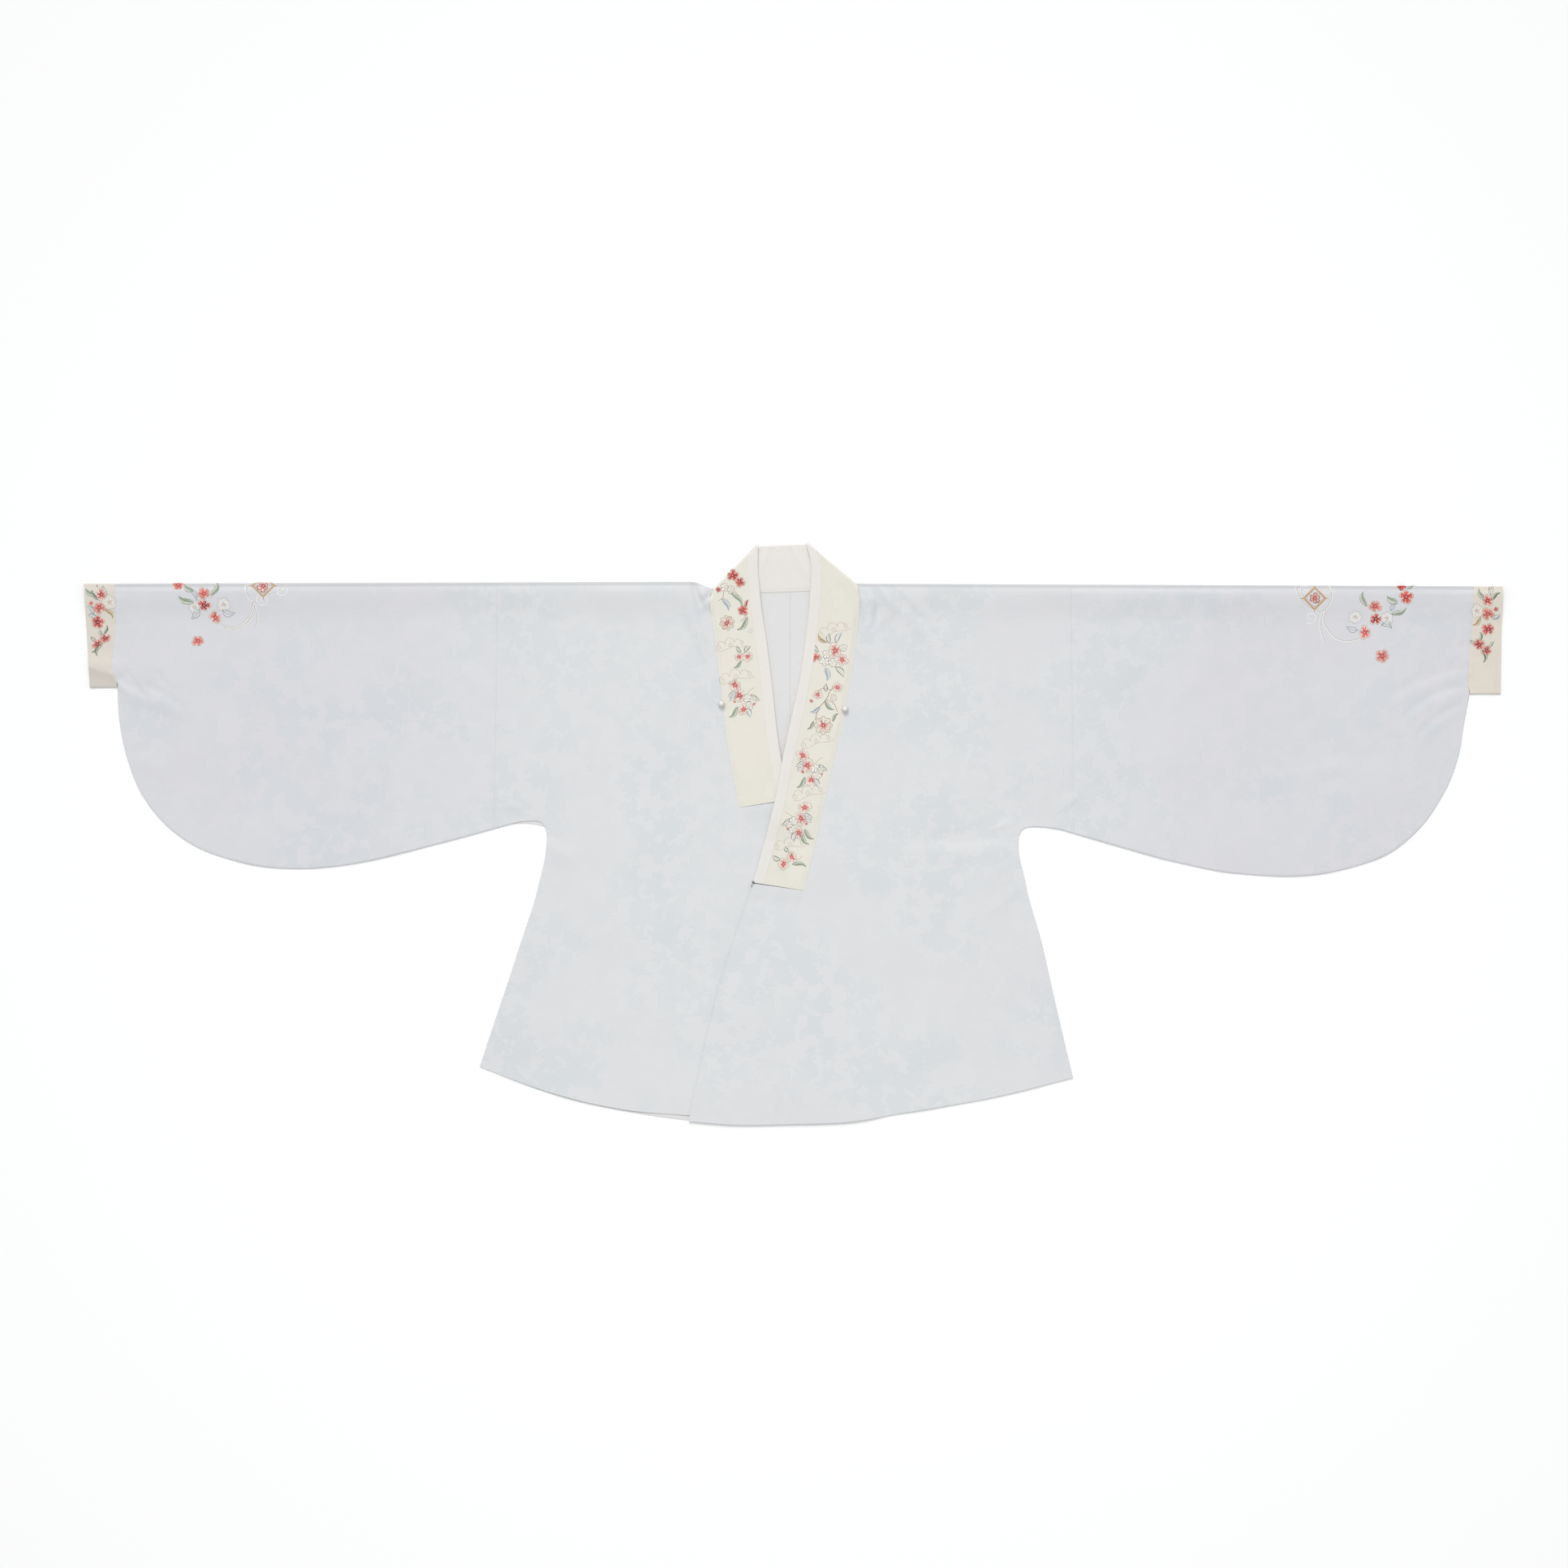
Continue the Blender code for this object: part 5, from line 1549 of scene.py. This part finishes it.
def on_arm(side):
    """Places stitches on the sleeve or cuff: on the front, round the top fold, or beyond it on the back."""
    def place(flat, lift):
        x, y = flat.T
        fold = on_fold(side, np.abs(x))
        fold_z = front_skin(side, fold)
        radius, middle = (fold_z - BACK_SKIN) / 2, (fold_z + BACK_SKIN) / 2
        past = y - fold[:, 1]
        angle = np.clip(past / radius, 0, math.pi)
        beyond = np.maximum(past - math.pi * radius, 0)
        reach = radius + np.where(angle > 0, lift, 0)
        front_z = front_skin(side, np.column_stack([x, np.minimum(y, fold[:, 1])])) + lift
        round_z = middle + reach * np.cos(angle)
        back_z = np.maximum(BACK_SKIN - 0.7 * lift, 0.02)
        z = np.where(past <= 0, front_z, np.where(beyond > 0, back_z, round_z))
        new_y = np.where(past <= 0, y, fold[:, 1] - beyond + reach * np.sin(angle) * (beyond <= 0))
        return np.column_stack([x, new_y, z])
    return place


work = Needlework(21)
work.blossom((-776, -3), 7.6, "coral", "pink", None, 0.2)
work.blossom((-743, -14), 8.2, "coral", "pink", "blush", 0.7)
work.blossom((-743, -29), 8.0, "garnet", "coral", "cream", 0.1)
work.blossom((-729, -44), 8.0, "coral", "pink", "cream", 0.5)
work.blossom((-751, -74), 7.4, "coral", "pink", "blush", 1.0)
work.open_blossom((-718, -28), 8.6, "white", "ochre", 0.4, 7)
work.open_blossom((-755, -31), 8.0, "white", "ochre", 2.2, 6)
work.leaf((-757, -11), (-768, -3), 7.5, "sage", "leaf", 0.15)
work.leaf((-756, -26), (-775, -18), 8.5, "sage", "leaf", 0.1)
work.leaf((-734, -16), (-727, 1), 7.0, "sage", "leaf", -0.18)
work.open_leaf((-750, -33), (-759, -46), 8.0, "leaf", 0.1)
work.open_leaf((-760, -8), (-752, -22), 5.0, "slate", 0.1)
work.open_leaf((-720, -34), (-704, -38), 8.0, "slate", -0.25)
work.stem([(-734, -20), (-729, -10), (-731, -2)], 0.5, "ochre")
work.ribbon([(-722, -54), (-706, -58), (-694, -52), (-684, -40), (-680, -26)], 0.95, "white")
work.ribbon([(-722, -56), (-706, -60), (-692, -54), (-682, -42), (-678, -30)], 0.7, "cream")
work.ribbon([(-677, -56), (-675, -44), (-677, -34), (-682, -22)], 0.75, "white")
work.ribbon([(-690, -3), (-689, -14), (-682, -24), (-674, -28)], 0.8, "white")
work.scroll((-668, -22), 9.0, 2.4, 1.2, "white", 0.8)
work.scroll((-645, -10), 8.0, 0.4, -1.2, "white", 0.8)
work.scroll((-687, -8), 6.0, 1.2, 1.1, "white", 0.7)
work.ribbon([(-660, -16), (-652, -14), (-645, -8), (-640, -2)], 0.8, "white")


def lozenge(work, centre, half):
    """A gold diamond in satin stitch with a small curl at each corner and a flower in it."""
    x, y = centre
    corners = [(x, y + half), (x + half, y), (x, y - half), (x - half, y)]
    for first, last in zip(corners, corners[1:] + corners[:1]):
        middle = ((first[0] + last[0]) / 2, (first[1] + last[1]) / 2)
        work.satin([first, middle, last], 1.8, "gold")
        inset = [(x + (px - x) * 0.82, y + (py - y) * 0.82) for px, py in (first, middle, last)]
        work.stem(inset, 0.45, "brown", 0.3)
        out = [(x + (first[0] - x) * k, y + (first[1] - y) * k) for k in (0.98, 1.12, 1.22)]
        work.stem(out, 1.1, "gold", 0.42)
    work.blossom(centre, half * 0.52, "coral", "blush", "red", 0.4, 6)
    work.knots(centre, 0.9, 5, "blue")


lozenge(work, (-668, -4), 14)
right_spray = work.sew("sleeve_right_embroidery", on_arm("right"))

work = Needlework(22)
work.blossom((729, -63), 8.0, "coral", "pink", "cream", 0.5)
work.blossom((743, -46), 8.2, "garnet", "coral", "cream", 0.1)
work.blossom((742, -30), 8.0, "coral", "pink", "blush", 0.9)
work.blossom((781, -18), 8.4, "red", "coral", "blush", 0.3)
work.blossom((775, -4), 7.4, "red", "coral", None, 0.8)
work.blossom((751, -93), 7.4, "coral", "pink", "blush", 1.2)
work.open_blossom((717, -44), 8.8, "white", "ochre", 0.9, 7)
work.open_blossom((757, -45), 7.5, "white", "ochre", 0.4, 6)
work.leaf((731, -30), (726, -12), 7.0, "sage", "leaf", 0.16)
work.leaf((770, -26), (757, -18), 9.0, "sage", "cream", 0.1)
work.leaf((763, -40), (781, -32), 7.5, "sage", "leaf", -0.12)
work.leaf((783, -8), (795, -1), 5.5, "sage", "leaf", 0.1)
work.open_leaf((762, -36), (768, -26), 5.0, "slate", 0.1)
work.open_leaf((720, -60), (706, -56), 7.0, "slate", 0.12)
work.open_leaf((750, -54), (763, -58), 7.0, "leaf", 0.3)
lozenge(work, (665, -20), 14)
work.ribbon([(675, -38), (672, -48), (673, -62), (678, -76)], 0.95, "white")
work.ribbon([(678, -36), (676, -48), (682, -60), (692, -71), (706, -75), (722, -72)], 1.0, "white")
work.ribbon([(640, -4), (645, -18), (652, -28), (662, -34), (672, -38)], 0.8, "white")
work.ribbon([(648, -2), (648, -14), (654, -22)], 0.7, "cream")
work.ribbon([(676, -38), (684, -28), (687, -14), (683, -4), (676, -1)], 0.8, "white")
work.scroll((660, -44), 8.5, -2.2, 1.2, "white", 0.8)
work.scroll((652, -10), 6.0, 0.6, 1.2, "cream", 0.6)
work.scroll((680, -10), 6.0, 1.6, -1.2, "cream", 0.6)
left_spray = work.sew("sleeve_left_embroidery", on_arm("left"))

for side, spray in (("right", right_spray), ("left", left_spray)):
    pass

# Embroidery on the cuffs
# A spray of close-set blossoms and leaves hangs from the top fold of each cuff, with a smaller one below.
work = Needlework(31)
work.blossom((-873, -15), 7.0, "red", "pink", "cream", 0.4)
work.blossom((-876, -32), 7.6, "coral", "pink", "blush", 0.9)
work.blossom((-878, -50), 7.8, "garnet", "coral", "blush", 0.2)
work.open_blossom((-863, -25), 9.0, "white", "coral", 0.5)
work.blossom((-886, -26), 3.4, "coral", "pink", None, 0.6)
work.leaf((-881, -17), (-893, -8), 6.5, "sage", "leaf", 0.12)
work.leaf((-877, -22), (-885, -10), 4.5, "leaf", "sage", 0.14)
work.open_leaf((-866, -17), (-871, -4), 6.0, "slate", 0.12)
work.leaf((-882, -38), (-891, -30), 6.0, "blue", "white", -0.1)
work.leaf((-880, -44), (-890, -42), 6.5, "blue", "white", -0.15)
work.leaf((-869, -34), (-859, -45), 5.0, "ochre", "brown", 0.18)
work.stem([(-876, -40), (-873, -44), (-869, -46)], 0.45, "cream")
work.blossom((-869, -70), 6.0, "garnet", "coral", "blush", 0.5)
work.blossom((-879, -78), 6.2, "garnet", "coral", "blush", 1.0)
work.leaf((-870, -65), (-867, -54), 3.6, "leaf", "sage", -0.15)
work.leaf((-874, -67), (-875, -60), 4.6, "sage", "cream", 0.1)
work.open_leaf((-881, -73), (-887, -69), 4.0, "leaf", 0.1)
work.leaf((-872, -77), (-879, -93), 5.0, "leaf", "sage", -0.22)
work.leaf((-878, -84), (-886, -88), 3.0, "leaf", "sage", 0.1)
work.stem([(-879, -3), (-878, -6)], 1.2, "brown", 0.4)
right_cuff_spray = work.sew("cuff_right_embroidery", on_arm("right"))

work = Needlework(32)
work.blossom((884, -23), 7.6, "red", "pink", "cream", 0.4)
work.blossom((885, -40), 8.2, "coral", "pink", "blush", 0.9)
work.blossom((886, -59), 8.0, "garnet", "coral", "blush", 0.2)
work.open_blossom((871, -36), 8.6, "white", "coral", 0.5)
work.blossom((895, -34), 3.6, "coral", "pink", None, 0.6)
work.leaf((880, -22), (873, -8), 6.5, "sage", "leaf", 0.12)
work.leaf((890, -22), (900, -13), 5.0, "leaf", "sage", 0.14)
work.open_leaf((888, -16), (892, -4), 5.5, "slate", 0.12)
work.leaf((876, -44), (866, -54), 5.0, "ochre", "brown", 0.18)
work.leaf((891, -46), (900, -40), 6.0, "blue", "white", -0.1)
work.stem([(884, -30), (880, -34), (874, -36)], 0.45, "cream")
work.blossom((874, -79), 6.8, "garnet", "coral", "blush", 0.5)
work.blossom((884, -86), 6.4, "garnet", "coral", "blush", 1.0)
work.leaf((876, -74), (875, -63), 3.6, "leaf", "sage", -0.15)
work.leaf((888, -81), (893, -75), 4.2, "sage", "cream", 0.1)
work.open_leaf((869, -77), (863, -73), 4.0, "leaf", 0.1)
work.leaf((878, -85), (880, -101), 5.0, "leaf", "sage", 0.22)
work.stem([(886, -6), (887, -9)], 1.2, "brown", 0.4)
left_cuff_spray = work.sew("cuff_left_embroidery", on_arm("left"))

for side, spray in (("right", right_cuff_spray), ("left", left_cuff_spray)):
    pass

# Embroidery on the collar
# Sprays of blossom with leaves follow each other down both legs, with thin clouds of shell-coloured
# thread between them. The lower part of the right leg, which is covered in wear, is plain.


def on_band(side):
    """Places stitches on the upper face of a collar leg, by the leg's section under each point."""
    def place(flat, lift):
        seam, free = leg_edges(side, np.linspace(0, 1, 240))
        run = free - seam
        length = np.linalg.norm(run, axis=1)
        away = flat[:, None] - seam[None]
        off_section = np.abs(away[..., 0] * run[:, 1] - away[..., 1] * run[:, 0]) / length
        nearest = np.argmin(off_section, axis=1)
        rows = np.arange(len(flat))
        share = (away[rows, nearest] * run[nearest]).sum(axis=1) / length[nearest] ** 2
        z = leg_z(side, seam[nearest], flat, share) + BAND_WALL / 2 + lift
        return np.column_stack([flat, z])
    return place


def spray(work, x, y, tilt=0.0, hand=1):
    """A spray of three blossoms in a row, white ones beside them, and leaves all round; hand mirrors it."""
    def at(along, up):
        along, cos, sin = along * hand, math.cos(tilt), math.sin(tilt)
        return (x + along * cos - up * sin, y + along * sin + up * cos)
    work.open_leaf(at(-6, 6), at(-16, 0), 7.0, "slate", 0.14 * hand, "white")
    work.open_leaf(at(-7, 4), at(-14, -6), 6.0, "slate", 0.1 * hand, "white")
    work.leaf(at(-4, -14), at(-14, -27), 6.0, "sage", "leaf", 0.14 * hand, "leaf")
    work.open_leaf(at(8, -15), at(12, -27), 6.0, "slate", 0.1 * hand, "white")
    work.open_leaf(at(14, 2), at(25, -5), 5.5, "leaf", -0.12 * hand, "cream")
    work.stem([at(8, 2), at(13, 8), at(18, 11)], 0.5, "ochre")
    work.blossom(at(8.5, -2), 6.2, *WHITE_PETALS, 0.3)
    work.blossom(at(15.5, -5), 5.4, *WHITE_PETALS, 0.8)
    work.blossom(at(11, -12), 6.0, *WHITE_PETALS, 0.1)
    work.blossom(at(-7, 14), 7.8, *ROSE_PETALS, 0.4)
    work.blossom(at(-1, 1), 8.4, *ROSE_PETALS, 0.9)
    work.blossom(at(4, -17), 7.4, *ROSE_PETALS, 0.2)
    work.blossom(at(-7, -7), 2.8, "coral", "blush", None, 0.5)
    work.blossom(at(17, -10), 2.8, "coral", "blush", None, 0.5)


work = Needlework(41)
work.blossom((-73, 9), 7.2, "red", "coral", "blush", 0.3)
work.blossom((-64, 1), 6.4, "red", "coral", "blush", 0.9)
work.blossom((-91, -9), 4.0, "red", "coral", None, 0.6)
work.blossom((-83, -6), 5.0, *WHITE_PETALS, 0.2)
work.blossom((-75, -9), 5.2, *WHITE_PETALS, 0.7)
work.stem([(-77, -12), (-70, -12), (-64, -19)], 0.55, "brown")
work.stem([(-84, -12), (-86, -20), (-91, -23)], 0.55, "brown")
work.leaf((-86, -20), (-78, -35), 7.0, "blue", "white", 0.14, "slate")
work.leaf((-74, -14), (-61, -29), 6.0, "sage", "leaf", 0.14, "leaf")
work.blossom((-60, -35), 6.6, "red", "coral", "blush", 0.4)
work.leaf((-57, -31), (-53, -22), 4.5, "coral", "red", 0.1)
work.stem([(-54, -38), (-57, -44), (-63, -49)], 0.55, "brown")
work.leaf((-54, -44), (-67, -60), 6.5, "sage", "leaf", 0.16)
work.rays((-80, -51), 7.6, 9.6, 0.2, 0.9)
work.blossom((-80, -51), 6.8, "red", "pink", "cream", 0.2, 8)
work.knots((-80, -51), 1.2, 6, "white")
work.scroll((-50, -62), 3.6, 0.4, 1.2, "blue", 0.5)
work.cloud((-94, -84), (-56, -76), 12)
work.blossom((-65, -94), 5.6, *ROSE_PETALS, 0.3)
work.blossom((-54, -94), 5.6, *ROSE_PETALS, 0.8)
work.open_leaf((-58, -88), (-50, -81), 5.0, "leaf", 0.12, "cream")
work.open_leaf((-62, -88), (-68, -80), 4.0, "leaf", 0.12, "cream")
work.leaf((-62, -100), (-71, -108), 4.6, "sage", "leaf", 0.14, "leaf")
work.cloud((-90, -126), (-46, -115), 12)
spray(work, -63, -144)
right_leg_work = work.sew("collar_right_embroidery", on_band("right"))

work = Needlework(42)
work.cloud((36, -68), (76, -54), 12)
work.leaf((46, -76), (36, -66), 5.0, "ochre", "brown", 0.2)
work.open_leaf((50, -77), (50, -64), 5.5, "leaf", 0.12, "cream")
work.open_leaf((58, -76), (66, -63), 6.0, "slate", 0.12, "white")
work.blossom((47, -91), 6.0, *WHITE_PETALS, 0.2)
work.blossom((67, -83), 5.4, *WHITE_PETALS, 0.6)
work.blossom((44, -100), 6.0, *WHITE_PETALS, 0.8)
work.blossom((54, -102), 6.0, *WHITE_PETALS, 0.3)
work.blossom((57, -86), 9.2, *ROSE_PETALS, 0.4)
work.blossom((33, -95), 5.4, "coral", "pink", "blush", 0.4)
work.blossom((66, -98), 7.0, *ROSE_PETALS, 0.9)
work.leaf((45, -108), (47, -124), 7.0, "blue", "white", 0.14, "slate")
work.open_leaf((58, -107), (68, -120), 7.0, "leaf", 0.12, "cream")
work.open_leaf((36, -88), (30, -76), 4.5, "leaf", 0.12, "cream")

# A branch with two blossoms and a round rosette, in place of the pictures that the real collar has here
work.stem([(62, -128), (52, -136), (46, -148), (36, -160), (32, -174)], 0.8, "brown", 0.34, 2.2)
work.stem([(46, -148), (56, -154), (60, -164)], 0.6, "brown", 0.3, 2.2)
work.stem([(52, -136), (42, -134), (34, -138)], 0.6, "brown", 0.3, 2.2)
work.blossom((60, -133), 6.4, *ROSE_PETALS, 0.4)
work.blossom((35, -142), 5.8, *ROSE_PETALS, 0.9)
work.blossom((55, -146), 4.6, *WHITE_PETALS, 0.9)
work.blossom((27, -150), 3.6, "coral", "blush", None, 0.9)
work.leaf((44, -150), (56, -161), 5.6, "sage", "leaf", -0.14, "leaf")
work.leaf((38, -158), (26, -164), 5.6, "blue", "white", 0.14, "slate")
work.open_leaf((46, -138), (46, -128), 5.0, "leaf", 0.1, "cream")
work.rays((42, -181), 9.4, 11.6, 0.0, 1.0)
work.blossom((42, -181), 8.4, *ROSE_PETALS, 0.4, 8)
work.knots((42, -181), 1.6, 7, "ochre")
work.leaf((30, -176), (22, -186), 4.6, "sage", "leaf", 0.14)
work.leaf((54, -176), (61, -166), 4.6, "sage", "leaf", 0.14)
work.cloud((14, -208), (54, -196), 11)

spray(work, 23, -233)
work.cloud((3, -274), (44, -262), 12)
spray(work, 13, -300, 0.12, -1)
work.leaf((14, -316), (24, -332), 6.0, "sage", "leaf", -0.14, "leaf")
work.cloud((-20, -336), (20, -330), 11)
work.blossom((2, -348), 6.6, *ROSE_PETALS, 0.3)
work.blossom((-8, -357), 6.6, *ROSE_PETALS, 0.8)
work.open_leaf((-2, -342), (-6, -334), 4.5, "leaf", 0.12, "cream")
work.open_leaf((-13, -352), (-22, -346), 6.0, "leaf", 0.12, "cream")
work.leaf((3, -357), (20, -360), 5.6, "sage", "leaf", 0.14, "leaf")
work.stem([(6, -350), (11, -351), (16, -346)], 0.55, "ochre")
left_leg_work = work.sew("collar_left_embroidery", on_band("left"))

# Floor, light and camera
# A plain white surface, broad soft light that comes mostly from beyond the collar, and a camera straight
# above the robe.
CAMERA_CENTRE = (-7.7, -255.4)
VIEW_WIDTH = 1.990
LENS = 85.0
SENSOR = 36.0
FLOOR_SIZE = 16.0

floor_mesh = bpy.data.meshes.new("floor")
corners = [(x * FLOOR_SIZE / 2, y * FLOOR_SIZE / 2, 0) for x, y in ((-1, -1), (1, -1), (1, 1), (-1, 1))]
floor_mesh.from_pydata(corners, [], [(0, 1, 2, 3)])
floor_paint = {"Base Color": (0.985, 0.985, 0.985, 1.0), "Roughness": 0.9, "Specular IOR Level": 0.1}
floor_mesh.materials.append(new_material("floor_paint", floor_paint)[0])
lay_out("floor", floor_mesh)

world = bpy.data.worlds.new("studio")
world.use_nodes = True
world.node_tree.nodes["Background"].inputs["Color"].default_value = (0.98, 0.99, 1.0, 1.0)
world.node_tree.nodes["Background"].inputs["Strength"].default_value = 0.58
bpy.context.scene.world = world

key_data = bpy.data.lights.new("key", "SUN")
key_data.energy = 1.5
key_data.angle = math.radians(30)
key_data.color = (1.0, 0.995, 0.985)
key = lay_out("key", key_data)
key.rotation_euler = (math.radians(-42), 0.0, math.radians(10))
key.location = (0.0, 2.0, 3.0)

top_data = bpy.data.lights.new("top", "SPOT")
top_data.energy = 120.0
top_data.spot_size = math.radians(46)
top_data.spot_blend = 1.0
top_data.shadow_soft_size = 0.6
top = lay_out("top", top_data)
top.location = (0.0, 0.1, 5.2)

camera_data = bpy.data.cameras.new("camera")
camera_data.lens = LENS
camera_data.sensor_width = SENSOR
camera = lay_out("camera", camera_data)
centre = to_frame(np.array([*CAMERA_CENTRE, 0.0]))
camera.location = (centre[0], centre[1], VIEW_WIDTH * LENS / SENSOR)
bpy.context.scene.camera = camera
bpy.context.scene.view_settings.view_transform = "Standard"
